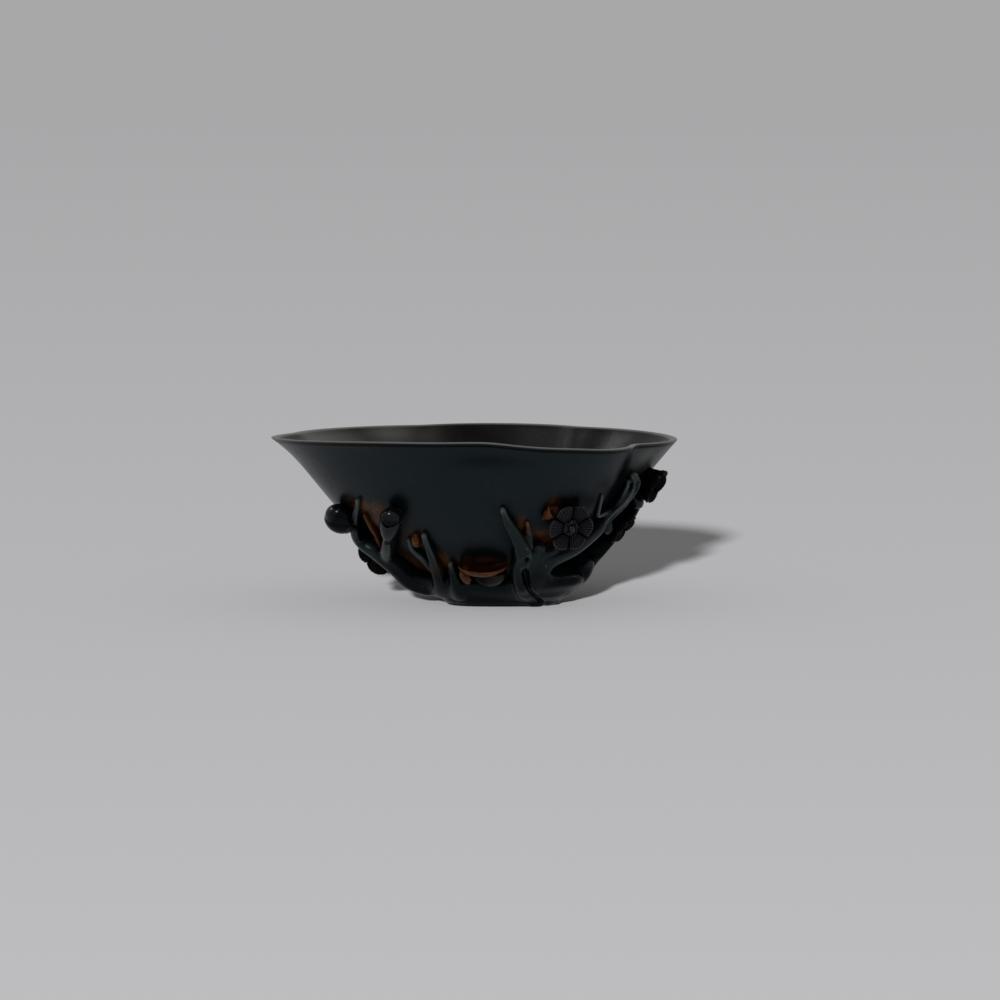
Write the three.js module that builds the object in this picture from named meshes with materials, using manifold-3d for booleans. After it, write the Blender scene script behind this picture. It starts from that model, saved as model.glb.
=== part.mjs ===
// Libation cup carved from one block of dark hardwood: a low foot, a flaring bowl with a five-lobed
// lip, and prunus branches with buds and blossoms in relief round its lower half.
// Millimetres, +Z up. The front faces -Y and the pouring side of the mouth points to -X.

import * as THREE from 'three';
import { mergeVertices } from 'three/addons/utils/BufferGeometryUtils.js';
import { ParametricGeometry } from 'three/addons/geometries/ParametricGeometry.js';
import Module from 'manifold-3d';

const wasm = await Module();
wasm.setup();

// Mouth: its length along X and depth along Y before its folds, and where the foot's axis stands in it.
const mouthLength = 123;
const mouthDepth = 94;
const axisFromPouringSide = 70.4;
const axisFromFront = 42;

// Bowl
const rimHeight = 48.8;
const baseHeight = 4.5;
const lipAcross = 2.3;
const wallAcross = 5;
const floorThickness = 4;
const seatGap = 0.3;

// Folds between the five lobes: angle, depth as a share of the reach, width in degrees.
const folds = [
  { angle: -96, depth: 0.055, width: 13 },
  { angle: -25.5, depth: 0.12, width: 8 },
  { angle: 60, depth: 0.07, width: 12 },
  { angle: 120, depth: 0.07, width: 12 },
  { angle: 168, depth: 0.06, width: 12 },
];
const foldStart = 0.3;

// Waves of the lip: angle, height and width in degrees.
const waves = [
  { angle: -128, height: 1.4, width: 38 },
  { angle: -96, height: 0.9, width: 18 },
  { angle: -44, height: -0.6, width: 14 },
  { angle: 90, height: 0.6, width: 50 },
];
const rimTilt = 0.3;

// Foot: a low block, and over it the mass of roots that rises round the bowl's underside.
const footHalfWidth = 17.6;
const footHalfDepth = 14;
const footSquareness = 0.6;
const footHeight = 6.3;
const footChamfer = 1.5;
const footRingWidth = 3.5;
const footRecess = 0.6;

// The roots' angle, the height of their top and their thickness over the wall.
const rootLow = 2;
const roots = [
  [-173, 12, 5],
  [-165, 11, 5],
  [-155, 11.5, 5],
  [-144, 12, 4.6],
  [-135, 10.5, 4],
  [-127, 8.8, 3.2],
  [-112, 8, 3],
  [-92, 8, 3],
  [-83, 9.5, 3.4],
  [-70, 11.5, 4.2],
  [-56, 13, 4.6],
  [-45, 13, 5],
  [-33, 12.3, 5],
  [-25, 13.5, 5.4],
  [-15, 14.5, 5],
  [0, 12, 4.6],
  [20, 10, 4],
  [60, 9, 3.4],
  [90, 8.5, 3],
  [120, 9, 3.4],
  [150, 10.5, 4],
  [180, 12.5, 4.5],
];

// The underside of roots and limbs rises away from the foot: distance beyond its outline and height.
const underside = {
  left: [[0, 1.4], [0.6, 1.6], [7.3, 3.1], [12.8, 4.9], [16.1, 6.7], [20.1, 10.2], [22.3, 12], [50, 34]],
  right: [[0, 1.4], [0.7, 1.7], [3.6, 3.2], [5.5, 5.1], [8, 7], [9.3, 8.7], [11.5, 12], [50, 60]],
};

// The bowl's wall on each side, measured from the foot's axis: it starts inside the foot's outline,
// curves out to the lip with the power, and hollows by the flare under the lip.
const reach = {
  left: { base: footHalfWidth - 3.6, lip: axisFromPouringSide, power: 0.72, flare: 34 },
  right: { base: footHalfWidth - 4.6, lip: mouthLength - axisFromPouringSide, power: 0.93, flare: 4 },
  front: { base: footHalfDepth - 2, lip: axisFromFront, power: 0.82, flare: 0 },
  back: { base: footHalfDepth - 2, lip: mouthDepth - axisFromFront, power: 0.82, flare: 0 },
};

// How far a limb or a blossom's stub reaches past the wall's surface before it is cut back to the wall.
const rooting = 0.6;

// Colours of the wood
const shellColour = 0x15191b;
const footColour = 0x12171a;
const limbColour = 0x191f20;
const twigColour = 0x1c2221;
const petalColour = 0x101213;
const budColour = 0x131719;
const calyxColour = 0x2a1b13;

const radians = THREE.MathUtils.degToRad;

// The smallest difference of two angles, in degrees.
function turn(from, to) {
  return THREE.MathUtils.euclideanModulo(to - from + 180, 360) - 180;
}

function bell(angle, { angle: centre, width }) {
  return Math.exp(-((turn(centre, angle) / width) ** 2));
}

// How far up the wall a height is: 0 at the bowl's underside, 1 at the lip.
function share(height) {
  return Math.max(0, (height - baseHeight) / (rimHeight - baseHeight));
}

function reachOf({ base, lip, power, flare }, height) {
  const part = share(height);
  return base + (lip - base) * part ** power - flare * part ** 5 * (1 - part);
}

function wallRadius(angle, height) {
  const across = Math.cos(radians(angle));
  const along = Math.sin(radians(angle));
  const side = reachOf(across < 0 ? reach.left : reach.right, height);
  const face = reachOf(along < 0 ? reach.front : reach.back, height);
  const round = 1 / Math.hypot(across / side, along / face);
  const folded = Math.max(0, (share(height) - foldStart) / (1 - foldStart)) ** 1.2;
  const depth = folds.reduce((sum, fold) => {
    const away = Math.hypot(turn(fold.angle, angle), 3) - 3;
    return sum + fold.depth * Math.exp(-away / fold.width);
  }, 0);
  return round * (1 - folded * depth);
}

function wallLift(angle, height) {
  const tilt = -rimTilt * Math.cos(radians(angle));
  const wave = waves.reduce((sum, each) => sum + each.height * bell(angle, each), tilt);
  return wave * share(height) ** 2;
}

// A point at a radius, raised with the lip's waves.
function cupPoint(angle, height, radius) {
  return new THREE.Vector3(
    radius * Math.cos(radians(angle)),
    radius * Math.sin(radians(angle)),
    height + wallLift(angle, height),
  );
}

function wallNormal(angle, height) {
  const level = Math.max(height, baseHeight + 0.5);
  const here = cupPoint(angle, level, wallRadius(angle, level));
  const beside = cupPoint(angle + 0.1, level, wallRadius(angle + 0.1, level)).sub(here);
  const above = cupPoint(angle, level + 0.05, wallRadius(angle, level + 0.05)).sub(here);
  return beside.cross(above).normalize();
}

// A point on the wall's outside, stood off along the wall's normal.
function wallPoint(angle, height, standOff = 0) {
  const point = cupPoint(angle, height, wallRadius(angle, height));
  return point.addScaledVector(wallNormal(angle, height), standOff);
}

function toSolid(geometry) {
  geometry.deleteAttribute('normal');
  geometry.deleteAttribute('uv');
  const merged = mergeVertices(geometry, 1e-4);
  const corners = merged.index.array;
  const kept = [];
  for (let i = 0; i < corners.length; i += 3) {
    const [a, b, c] = corners.slice(i, i + 3);
    if (a !== b && b !== c && c !== a) {
      kept.push(a, b, c);
    }
  }
  return new wasm.Manifold(new wasm.Mesh({
    numProp: 3,
    vertProperties: new Float32Array(merged.attributes.position.array),
    triVerts: new Uint32Array(kept),
  }));
}

// A closed skin of revolution-like rings: ring(angle, row) gives the point, rows run from pole to pole.
function skin(ring, around, rows) {
  const place = (u, v, target) => target.copy(ring(360 * u, Math.round(v * rows)));
  return toSolid(new ParametricGeometry(place, around, rows));
}

// Bowl: up the outside, over the rounded lip and down the inside to the middle of the floor.
const outsideRows = [0, 0.04, 0.1, 0.18, 0.29, 0.42, 0.57, 0.73, 0.88];
const insideRows = [0.88, 0.7, 0.52, 0.37, 0.25, 0.17];
const lipRound = 0.5;
const bowlSides = 72;
const footSides = 48;

function heightAt(row) {
  return baseHeight + row * (rimHeight - baseHeight);
}

function insideRadius(angle, height) {
  const across = THREE.MathUtils.lerp(wallAcross, lipAcross, Math.min(1, share(height) * 1.6));
  return wallRadius(angle, height) - across;
}

function bowl() {
  const floor = baseHeight + floorThickness;
  const wellHeight = heightAt(insideRows.at(-1));
  const rings = [
    () => new THREE.Vector3(0, 0, baseHeight),
    ...outsideRows.map((row) => (angle) => wallPoint(angle, heightAt(row))),
    (angle) => cupPoint(angle, rimHeight - lipRound, wallRadius(angle, rimHeight - lipRound)),
    (angle) => cupPoint(angle, rimHeight, wallRadius(angle, rimHeight) - lipRound),
    (angle) => cupPoint(angle, rimHeight, insideRadius(angle, rimHeight) + lipRound),
    (angle) => cupPoint(angle, rimHeight - lipRound, insideRadius(angle, rimHeight - lipRound)),
    ...insideRows.map((row) => (angle) => cupPoint(angle, heightAt(row), insideRadius(angle, heightAt(row)))),
    (angle) => cupPoint(angle, floor + 1.1, 0.88 * insideRadius(angle, wellHeight)),
    (angle) => cupPoint(angle, floor + 0.3, 0.68 * insideRadius(angle, wellHeight)),
    () => new THREE.Vector3(0, 0, floor),
  ];
  return skin((angle, row) => rings[row](angle), bowlSides, rings.length - 1);
}

// The space that the bowl takes with its inside filled, grown by the clearance except at its underside.
function bowlSpace(bottom) {
  const rings = [
    () => new THREE.Vector3(0, 0, bottom),
    (angle) => cupPoint(angle, bottom, wallRadius(angle, baseHeight) + seatGap),
    ...outsideRows.slice(1).map((row) => (angle) => wallPoint(angle, heightAt(row), seatGap)),
    (angle) => wallPoint(angle, rimHeight, seatGap),
    () => new THREE.Vector3(0, 0, rimHeight),
  ];
  return skin((angle, row) => rings[row](angle), bowlSides, rings.length - 1);
}

function footRing(angle, height, inset) {
  const across = Math.cos(radians(angle));
  const along = Math.sin(radians(angle));
  return new THREE.Vector3(
    (footHalfWidth - inset) * Math.sign(across) * Math.abs(across) ** footSquareness,
    (footHalfDepth - inset) * Math.sign(along) * Math.abs(along) ** footSquareness,
    height,
  );
}

// The value of a table of [place, value] at a place.
function along(table, at) {
  const next = Math.max(1, table.findIndex(([place]) => place >= at));
  const [start, low] = table[next - 1];
  const [end, high] = table[next];
  return THREE.MathUtils.lerp(low, high, (at - start) / (end - start));
}

// Everything below the underside of roots and limbs.
function undersideSpace() {
  const power = 2 / footSquareness;
  const point = (angle, beyond, height) => {
    const across = Math.cos(radians(angle));
    const lengthways = Math.sin(radians(angle));
    const edge = (Math.abs(across / footHalfWidth) ** power + Math.abs(lengthways / footHalfDepth) ** power)
      ** (-1 / power);
    return new THREE.Vector3((edge + beyond) * across, (edge + beyond) * lengthways, height);
  };
  const spread = underside.left.at(-1)[0];
  const stations = [spread, 22.3, 20.1, 16.1, 12.8, 11.5, 9.3, 8, 5.5, 3.6, 0.7, 0];
  const level = (angle, beyond) => {
    const right = 0.5 + 0.5 * Math.cos(radians(angle));
    return THREE.MathUtils.lerp(along(underside.left, beyond), along(underside.right, beyond), right);
  };
  const rings = [
    () => new THREE.Vector3(0, 0, -rimHeight),
    (angle) => point(angle, spread, -rimHeight),
    ...stations.map((beyond) => (angle) => point(angle, beyond, level(angle, beyond))),
    () => new THREE.Vector3(0, 0, level(0, 0)),
  ];
  return skin((angle, row) => rings[row](angle), footSides, rings.length - 1);
}

// Height of the roots' top and their thickness at an angle, eased between two of their entries.
function rootsAt(angle) {
  const gone = (place) => THREE.MathUtils.euclideanModulo(angle - place, 360);
  const index = roots.reduce((best, [place], at) => (gone(place) < gone(roots[best][0]) ? at : best), 0);
  const [start, high, thick] = roots[index];
  const [end, nextHigh, nextThick] = roots[(index + 1) % roots.length];
  const wide = THREE.MathUtils.euclideanModulo(end - start, 360);
  const part = 0.5 - 0.5 * Math.cos((Math.PI * gone(start)) / wide);
  return [THREE.MathUtils.lerp(high, nextHigh, part), THREE.MathUtils.lerp(thick, nextThick, part)];
}

// The mass of roots: it swells from the foot over the lower wall, and its top rounds in to the wall.
const rootRows = [0, 0.25, 0.45, 0.62, 0.76, 0.87, 0.95, 1];

function rootMass(grow = 0) {
  const ring = (part) => (angle) => {
    const [high, thick] = rootsAt(angle);
    const height = rootLow + (high + grow - rootLow) * Math.sin((Math.PI / 2) * part);
    const point = wallPoint(angle, height, thick * Math.sqrt(1 - part ** 4) + grow - rooting * part ** 4);
    return point.setZ(Math.max(point.z, rootLow / 2 - grow));
  };
  const rings = [
    () => new THREE.Vector3(0, 0, baseHeight - grow),
    ...rootRows.map(ring),
    () => new THREE.Vector3(0, 0, 2 * footHeight),
  ];
  return skin((angle, row) => rings[row](angle), bowlSides, rings.length - 1).subtract(undersideSpace());
}

// Foot: a low block with rounded corners, its underside hollowed a little inside a flat resting ring.
function foot() {
  const ringInset = footChamfer + footRingWidth;
  const rings = [
    () => new THREE.Vector3(0, 0, footRecess),
    (angle) => footRing(angle, footRecess, ringInset + footRecess),
    (angle) => footRing(angle, 0, ringInset),
    (angle) => footRing(angle, 0, footChamfer),
    (angle) => footRing(angle, footChamfer, 0),
    (angle) => footRing(angle, 0.8 * footHeight, 0),
    (angle) => footRing(angle, footHeight, 0.25 * footHeight),
    () => new THREE.Vector3(0, 0, footHeight),
  ];
  const block = skin((angle, row) => rings[row](angle), footSides, rings.length - 1);
  return block.add(rootMass()).subtract(bowlSpace(baseHeight));
}

function footSpace() {
  const rings = [
    () => new THREE.Vector3(0, 0, -seatGap),
    (angle) => footRing(angle, -seatGap, -seatGap),
    (angle) => footRing(angle, footHeight + seatGap, -seatGap),
    () => new THREE.Vector3(0, 0, footHeight + seatGap),
  ];
  return skin((angle, row) => rings[row](angle), footSides, rings.length - 1).add(rootMass(seatGap));
}

// A limb of wood through knots of [angle, height, standOff, radius]: round at both ends and on its
// outer side, while its inner side reaches in to the wall.
function limb(knots, grow = 0, rowsPerKnot = 2) {
  const path = new THREE.CatmullRomCurve3(knots.map(([angle, height, off]) => wallPoint(angle, height, off)));
  const sizes = knots.map(([, , off, radius]) => new THREE.Vector3(off, radius, 0));
  const girth = new THREE.CatmullRomCurve3(sizes);
  const outward = new THREE.CatmullRomCurve3(knots.map(([angle, height]) => wallNormal(angle, height)));
  const rows = rowsPerKnot * (knots.length - 1) + 4;
  const around = Math.max(...knots.map((knot) => knot[3])) > 2.5 ? 10 : 8;
  const length = path.getLength();
  return skin((angle, row) => {
    const along = 0.5 - 0.5 * Math.cos((Math.PI * row) / rows);
    const { x: standOff, y: radius } = girth.getPoint(along);
    const start = Math.min(1, (along * length) / (radius + grow));
    const end = Math.min(1, ((1 - along) * length) / (radius + grow));
    const cap = Math.sqrt(1 - (1 - start) ** 2) * Math.sqrt(1 - (1 - end) ** 2);
    const tangent = path.getTangent(along);
    const out = outward.getPoint(along);
    out.addScaledVector(tangent, -out.dot(tangent)).normalize();
    const side = out.clone().cross(tangent);
    const rise = Math.sin(radians(angle));
    const reached = (rise > 0 ? radius : Math.max(radius, standOff + rooting)) + grow;
    return path.getPoint(along).addScaledVector(tangent, grow * (2 * along - 1))
      .addScaledVector(side, (radius + grow) * cap * Math.cos(radians(angle)))
      .addScaledVector(out, reached * cap * rise);
  }, around, rows);
}

// The frame of a form that faces away from the wall: its own +Z is the wall's normal, tipped and turned.
function facing(angle, height, standOff, tip = 0, spin = 0) {
  const normal = wallNormal(angle, height);
  const side = new THREE.Vector3(0, 0, 1).cross(normal).normalize();
  const frame = new THREE.Matrix4().makeBasis(side, normal.clone().cross(side), normal);
  frame.multiply(new THREE.Matrix4().makeRotationX(radians(tip)));
  frame.multiply(new THREE.Matrix4().makeRotationZ(radians(spin)));
  return frame.setPosition(wallPoint(angle, height, standOff));
}

// A closed form from rings of [radius, height], its outline modulated round the axis.
function turned(profile, around, outline = () => 1, relief = () => 0) {
  return skin((angle, row) => {
    const [radius, height] = profile[row];
    const reached = radius * outline(angle);
    return new THREE.Vector3(
      reached * Math.cos(radians(angle)),
      reached * Math.sin(radians(angle)),
      height + relief(angle, radius),
    );
  }, around, profile.length - 1);
}

// Open blossom: a cupped disc with notched petals on a stub that goes down to its depth.
function petals({ radius, count = 5, cup = 0.16, neck = 0.4 }, depth, grow = 0) {
  const thickness = 0.24 * radius + 2 * grow;
  const full = radius + grow;
  const rise = (part) => cup * radius * part ** 2 - grow;
  const stub = neck * radius + grow;
  const profile = [
    [0, -depth - grow],
    [stub, -depth - grow],
    [stub, rise(neck)],
    [0.92 * full, rise(0.92)],
    [full, rise(1) + 0.4 * thickness],
    [0.92 * full, rise(0.92) + thickness],
    [0.5 * full, rise(0.5) + thickness],
    [0, rise(0) + thickness],
  ];
  const outline = (angle) => 0.8 + 0.2 * Math.abs(Math.cos(radians((count * angle) / 2))) ** 0.5;
  return turned(profile, 6 * count, outline);
}

// Heart of a blossom: a dome inside a ring of beads.
function heart({ radius, cup = 0.16 }, grow = 0) {
  const beadCount = 9;
  const floor = 0.14 * radius + seatGap;
  const size = 0.4 * radius + grow;
  const profile = [
    [0, floor - grow],
    [size, floor - grow],
    [size, floor + 0.22 * radius + grow],
    [0.78 * size, floor + 0.3 * radius + grow],
    [0.5 * size, floor + 0.22 * radius + grow],
    [0.3 * size, floor + 0.36 * radius + grow],
    [0, floor + 0.42 * radius + grow],
  ];
  const outline = (angle) => (grow > 0 ? 1 : 0.95 + 0.05 * Math.cos(radians(beadCount * angle)));
  return turned(profile, grow > 0 ? 2 * beadCount : 3 * beadCount, outline);
}

// Bud: an egg with its narrow end up.
function bud({ radius, length }, grow = 0) {
  const ringCount = 7;
  const profile = [];
  for (let ring = 0; ring <= ringCount; ring += 1) {
    const along = (Math.PI * ring) / ringCount;
    const waist = 1 - 0.12 * (1 - Math.cos(along)) / 2;
    profile.push([(radius * waist + grow) * Math.sin(along), -(length / 2 + grow) * Math.cos(along)]);
  }
  return turned(profile, 12);
}

// Calyx: the cup of sepals that holds a bud's lower half.
function calyx({ radius, length }, grow = 0) {
  const wall = 0.22 * radius;
  const sepalCount = 5;
  const profile = [
    [0, -0.5 * length - 1.2 * wall - grow],
    [0.6 * radius + grow, -0.45 * length - 0.6 * wall - grow],
    [radius + 0.6 * wall + grow, -0.2 * length - grow],
    [radius + wall + grow, 0.08 * length + grow],
    [radius + 0.4 * wall + grow, 0.14 * length + grow],
    [0, 0.14 * length + grow],
  ];
  const lobes = (angle) => 0.07 * length * Math.cos(radians(sepalCount * angle));
  const scallop = (angle, at) => (at < 0.9 * radius ? 0 : lobes(angle));
  return turned(profile, 3 * sepalCount, () => 1, scallop);
}

// Half-open blossom: a shallow upright cup of petals, flattened towards the wall.
function halfOpenPetals({ radius, flatness }, grow = 0) {
  const rim = 0.3 * radius;
  const profile = [
    [0, -grow],
    [0.55 * radius + grow, -grow],
    [0.94 * radius + grow, 0.6 * rim],
    [radius + grow, rim + grow],
    [0.86 * radius - grow, rim + grow],
    [0.5 * radius, 0.55 * rim + grow],
    [0, 0.5 * rim + grow],
  ];
  const lobes = (angle) => 0.93 + 0.07 * Math.abs(Math.cos(radians(2.5 * angle)));
  return turned(profile, 30, lobes).transform(new THREE.Matrix4().makeScale(1, flatness, 1).elements);
}

// The dome of joined sepals under a half-open blossom.
function dome({ radius, flatness }, grow = 0) {
  const width = 0.66 * radius + grow;
  const depth = 0.52 * radius + grow;
  const profile = [
    [0, -depth],
    [0.5 * width, -0.9 * depth],
    [0.84 * width, -0.6 * depth],
    [width, -0.1 * depth],
    [width, grow],
    [0, grow],
  ];
  return turned(profile, 15).transform(new THREE.Matrix4().makeScale(1, flatness, 1).elements);
}

// Carved forms. Each is a limb, or a form turned about its own axis and set on the wall.
const forms = [];

function placed(name, colour, roughness, frame, shape) {
  forms.push({ name, colour, roughness, frame, make: (grow) => shape(grow).transform(frame.elements) });
}

function grown(name, colour, roughness, knots) {
  const [angle, height, standOff] = knots[0];
  const frame = new THREE.Matrix4().setPosition(wallPoint(angle, height, standOff));
  forms.push({ name, colour, roughness, frame, make: (grow) => limb(knots, grow) });
}

function blossom(name, size, angle, height, standOff, tip, spin) {
  const frame = facing(angle, height, standOff, tip, spin);
  placed(`${name}_heart`, petalColour, 0.3, frame, (grow) => heart(size, grow));
  placed(`${name}_petals`, petalColour, 0.32, frame, (grow) => petals(size, standOff + rooting, grow));
}

// The axis lies along the wall, pointing up before it is spun, and rises from it by the angle given.
function lying(angle, height, standOff, rise, spin) {
  const laidDown = new THREE.Matrix4().makeRotationX(radians(rise - 90));
  return facing(angle, height, standOff, 0, spin).multiply(laidDown);
}

function budAndCalyx(name, size, angle, height, standOff, rise, spin) {
  const frame = lying(angle, height, standOff, rise, spin);
  placed(`${name}_bud`, budColour, 0.2, frame, (grow) => bud(size, grow));
  placed(`${name}_calyx`, limbColour, 0.3, frame, (grow) => calyx(size, grow));
}

// Blossoms and buds
blossom('front_blossom', { radius: 6.8, count: 6 }, -54.2, 27.3, 2.3, 0, 15);
blossom('right_high_blossom', { radius: 6.6, cup: 0.55, neck: 0.72 }, -10, 37.8, 0.9, -8, 10);
blossom('right_low_blossom', { radius: 5.2, cup: 0.5, neck: 0.7 }, -12, 25.6, 1.9, 0, 20);
blossom('left_low_blossom', { radius: 6, cup: 0.3, neck: 0.5 }, -170, 16.5, 3, 0, 54);
blossom('back_blossom', { radius: 6.4 }, 78, 27, 2.4, 0, 0);
budAndCalyx('left_stem', { radius: 2.9, length: 6.4 }, -144.5, 27.4, 2.7, 12, 8);
budAndCalyx('left_round', { radius: 4.7, length: 9.4 }, -167.5, 28.6, 3.3, 60, 60);
budAndCalyx('behind_blossom', { radius: 1.9, length: 4.8 }, -64, 31, 1.2, 12, -40);
budAndCalyx('hanging_low', { radius: 2, length: 4.8 }, -21, 25, 2.7, 10, -150);
budAndCalyx('hanging_high', { radius: 2.1, length: 4.8 }, -7, 32, 2.9, 20, -110);
budAndCalyx('back_left', { radius: 3, length: 6.6 }, 138, 29, 2.6, 15, 20);
const centreBlossom = { radius: 7.6, flatness: 0.6 };
const centreFrame = lying(-104.5, 10.9, 1.9, -12, 0);
const centrePetals = (grow) => halfOpenPetals(centreBlossom, grow);
const centreCalyx = (grow) => dome(centreBlossom, grow);
placed('centre_blossom_petals', calyxColour, 0.32, centreFrame, centrePetals);
placed('centre_blossom_calyx', limbColour, 0.3, centreFrame, centreCalyx);

// Limbs, the thick ones first, because the others end on them.
grown('front_trunk', limbColour, 0.3, [
  [-38, 4.8, 4.2, 2.8],
  [-65, 7.5, 4.2, 2.9],
  [-75, 11, 3.8, 2.2],
  [-78, 14.5, 3.6, 2.2],
  [-76, 18, 3.4, 2.8],
  [-78, 20.5, 3, 2.5],
  [-82, 24, 2.3, 1.9],
  [-87, 27.5, 1.4, 1.3],
  [-90, 31, 0.8, 0.8],
]);
grown('right_branch', limbColour, 0.3, [
  [-33, 5.2, 4.6, 3.2],
  [-50, 9.5, 4.6, 3.2],
  [-61, 13.5, 4.4, 2.7],
  [-60, 16.5, 4, 2.5],
  [-51, 18, 3.4, 2.1],
  [-41, 19.5, 3, 1.7],
  [-34, 22, 2.8, 1.5],
  [-28, 25, 2.6, 1.4],
  [-25, 28, 2.6, 1.3],
  [-21, 31, 2.5, 1.3],
  [-19, 34.5, 2.3, 1.4],
  [-19, 37.5, 1.8, 1.5],
  [-23, 40.5, 1, 1.2],
]);
grown('left_branch', limbColour, 0.3, [
  [-164, 6.8, 4.4, 3.1],
  [-172, 9.4, 4.3, 3],
  [-169, 14, 3.7, 2.4],
  [-168, 18.5, 3, 1.8],
  [-168, 22, 2.2, 1.3],
  [-162, 26.5, 1.4, 1],
  [-157, 30, 1, 0.8],
  [-154, 32.5, 0.8, 0.8],
]);
grown('low_right_branch', limbColour, 0.3, [
  [-26, 5.2, 5, 3.2],
  [-21, 7.5, 5.4, 3.6],
  [-19, 10.5, 5.4, 3.2],
  [-17, 13, 5, 2.6],
  [-20, 16.5, 4.5, 1.5],
]);
grown('side_branch', limbColour, 0.3, [
  [2, 6.5, 4.8, 3.4],
  [-2, 11, 4.4, 2.6],
  [-6, 15.5, 4, 2],
  [-7, 20, 4, 1.8],
  [-4, 24, 4, 1.8],
  [-3, 28, 3.8, 1.7],
  [-6, 31.5, 3.2, 1.4],
  [-9, 35, 2.6, 1.2],
]);
grown('back_trunk', limbColour, 0.3, [
  [110, 5, 4.2, 3.4],
  [98, 9, 4, 3.4],
  [86, 13.5, 3.6, 2.9],
  [74, 18, 3.2, 2.5],
  [60, 22, 2.8, 2],
  [47, 26.5, 2.3, 1.7],
  [38, 32, 1.7, 1.4],
  [34, 36, 1, 1],
]);
grown('back_left_branch', limbColour, 0.3, [
  [126, 5.5, 4, 3.2],
  [136, 9.5, 3.6, 2.8],
  [144, 14, 3, 2.4],
  [147, 18.5, 2.6, 2],
  [145, 22.5, 2.4, 1.6],
  [141, 25.5, 2.3, 1.4],
]);
grown('back_right_branch', limbColour, 0.3, [
  [58, 5.5, 4.2, 3.2],
  [44, 9, 3.8, 2.9],
  [32, 12.5, 3.2, 2.4],
  [24, 17, 2.5, 1.9],
  [21, 22, 1.7, 1.4],
  [22, 27, 0.9, 0.9],
]);
grown('left_twig', twigColour, 0.32, [
  [-158, 5.5, 3, 2.2],
  [-144, 9.5, 2.7, 1.9],
  [-138, 14.5, 2.1, 1.5],
  [-136, 19, 1.4, 1.1],
  [-135, 23, 0.9, 0.8],
]);
grown('left_arch', twigColour, 0.32, [
  [-143, 12, 1.8, 1.2],
  [-144, 15.5, 1.4, 1],
  [-146, 18, 1.2, 0.8],
  [-144, 21.5, 0.9, 0.6],
]);
grown('left_bract', calyxColour, 0.32, [
  [-142, 19, 1, 1.1],
  [-140.5, 21, 1.1, 1.4],
  [-139, 22.8, 0.8, 0.9],
]);
grown('left_spur', twigColour, 0.32, [
  [-137, 5, 3.2, 2.3],
  [-133, 8, 2.7, 1.9],
  [-130, 11.5, 1.9, 1.3],
  [-129, 14.5, 0.9, 0.7],
]);
grown('left_bud_stem', twigColour, 0.32, [
  [-166, 16.5, 2.6, 1.6],
  [-160, 18.5, 2.5, 1.5],
  [-154, 21.5, 2.5, 1.5],
]);
grown('recess_twig', calyxColour, 0.32, [
  [-163, 18.5, 1.5, 0.9],
  [-160, 21.5, 1, 0.8],
  [-158.5, 24.5, 0.8, 0.7],
  [-156.5, 28, 0.6, 0.5],
]);
grown('trunk_spur', twigColour, 0.32, [
  [-73, 19.5, 3.2, 1.8],
  [-73, 22.5, 2.2, 1.4],
  [-74, 24.5, 1.5, 1.1],
  [-76, 26.5, 0.8, 0.7],
]);
grown('right_thin_twig', twigColour, 0.32, [
  [-31, 27.5, 1.2, 0.7],
  [-27, 30, 1.6, 0.8],
  [-24, 32.5, 1.7, 0.8],
  [-24.5, 36, 1.5, 0.8],
  [-24.5, 39, 1, 0.8],
]);
grown('right_small_twig', twigColour, 0.32, [
  [-31.5, 28, 0.9, 0.7],
  [-34, 31, 0.7, 0.6],
  [-37, 33.5, 0.5, 0.5],
]);
grown('back_twig', twigColour, 0.32, [
  [86, 16, 2.6, 1.7],
  [92, 20, 1.9, 1.4],
  [100, 24, 1.2, 1.1],
  [104, 28, 0.7, 0.7],
]);

// Each form gives way, with the clearance, to the foot, the bowl and every form before it.
const cup = new THREE.Group();
const taken = [bowlSpace(baseHeight - seatGap), footSpace(), undersideSpace()];

function addMesh(name, solid, frame, colour, roughness) {
  const { vertProperties, triVerts } = solid.getMesh();
  const geometry = new THREE.BufferGeometry();
  geometry.setAttribute('position', new THREE.BufferAttribute(vertProperties, 3));
  geometry.setIndex(new THREE.BufferAttribute(triVerts, 1));
  geometry.applyMatrix4(frame.clone().invert());
  geometry.computeVertexNormals();
  const material = new THREE.MeshStandardMaterial({ color: colour, roughness, metalness: 0 });
  const mesh = new THREE.Mesh(geometry, material);
  mesh.name = name;
  mesh.applyMatrix4(frame);
  cup.add(mesh);
}

addMesh('bowl', bowl(), new THREE.Matrix4(), shellColour, 0.28);
addMesh('foot', foot(), new THREE.Matrix4(), footColour, 0.35);

for (const { name, colour, roughness, frame, make } of forms) {
  let solid = make(0);
  for (const other of taken) {
    solid = solid.subtract(other);
  }
  const [largest] = solid.decompose().sort((a, b) => b.volume() - a.volume());
  addMesh(name, largest, frame, colour, roughness);
  taken.push(make(seatGap));
}

// The cup stands on the origin: the middle of its outline, at the level of its resting ring.
const outline = new THREE.Box3().setFromObject(cup);
const middle = outline.getCenter(new THREE.Vector3());
cup.position.set(-middle.x, -middle.y, 0);

const libationCup = new THREE.Group();
libationCup.add(cup);

export default libationCup;
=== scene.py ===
# Carved hardwood libation cup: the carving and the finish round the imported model.
# Shapes are worked in millimetres from the foot's axis and put in their place, in metres, at the end.
import math

import bmesh
import bpy
from mathutils import Matrix, Vector, noise


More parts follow.
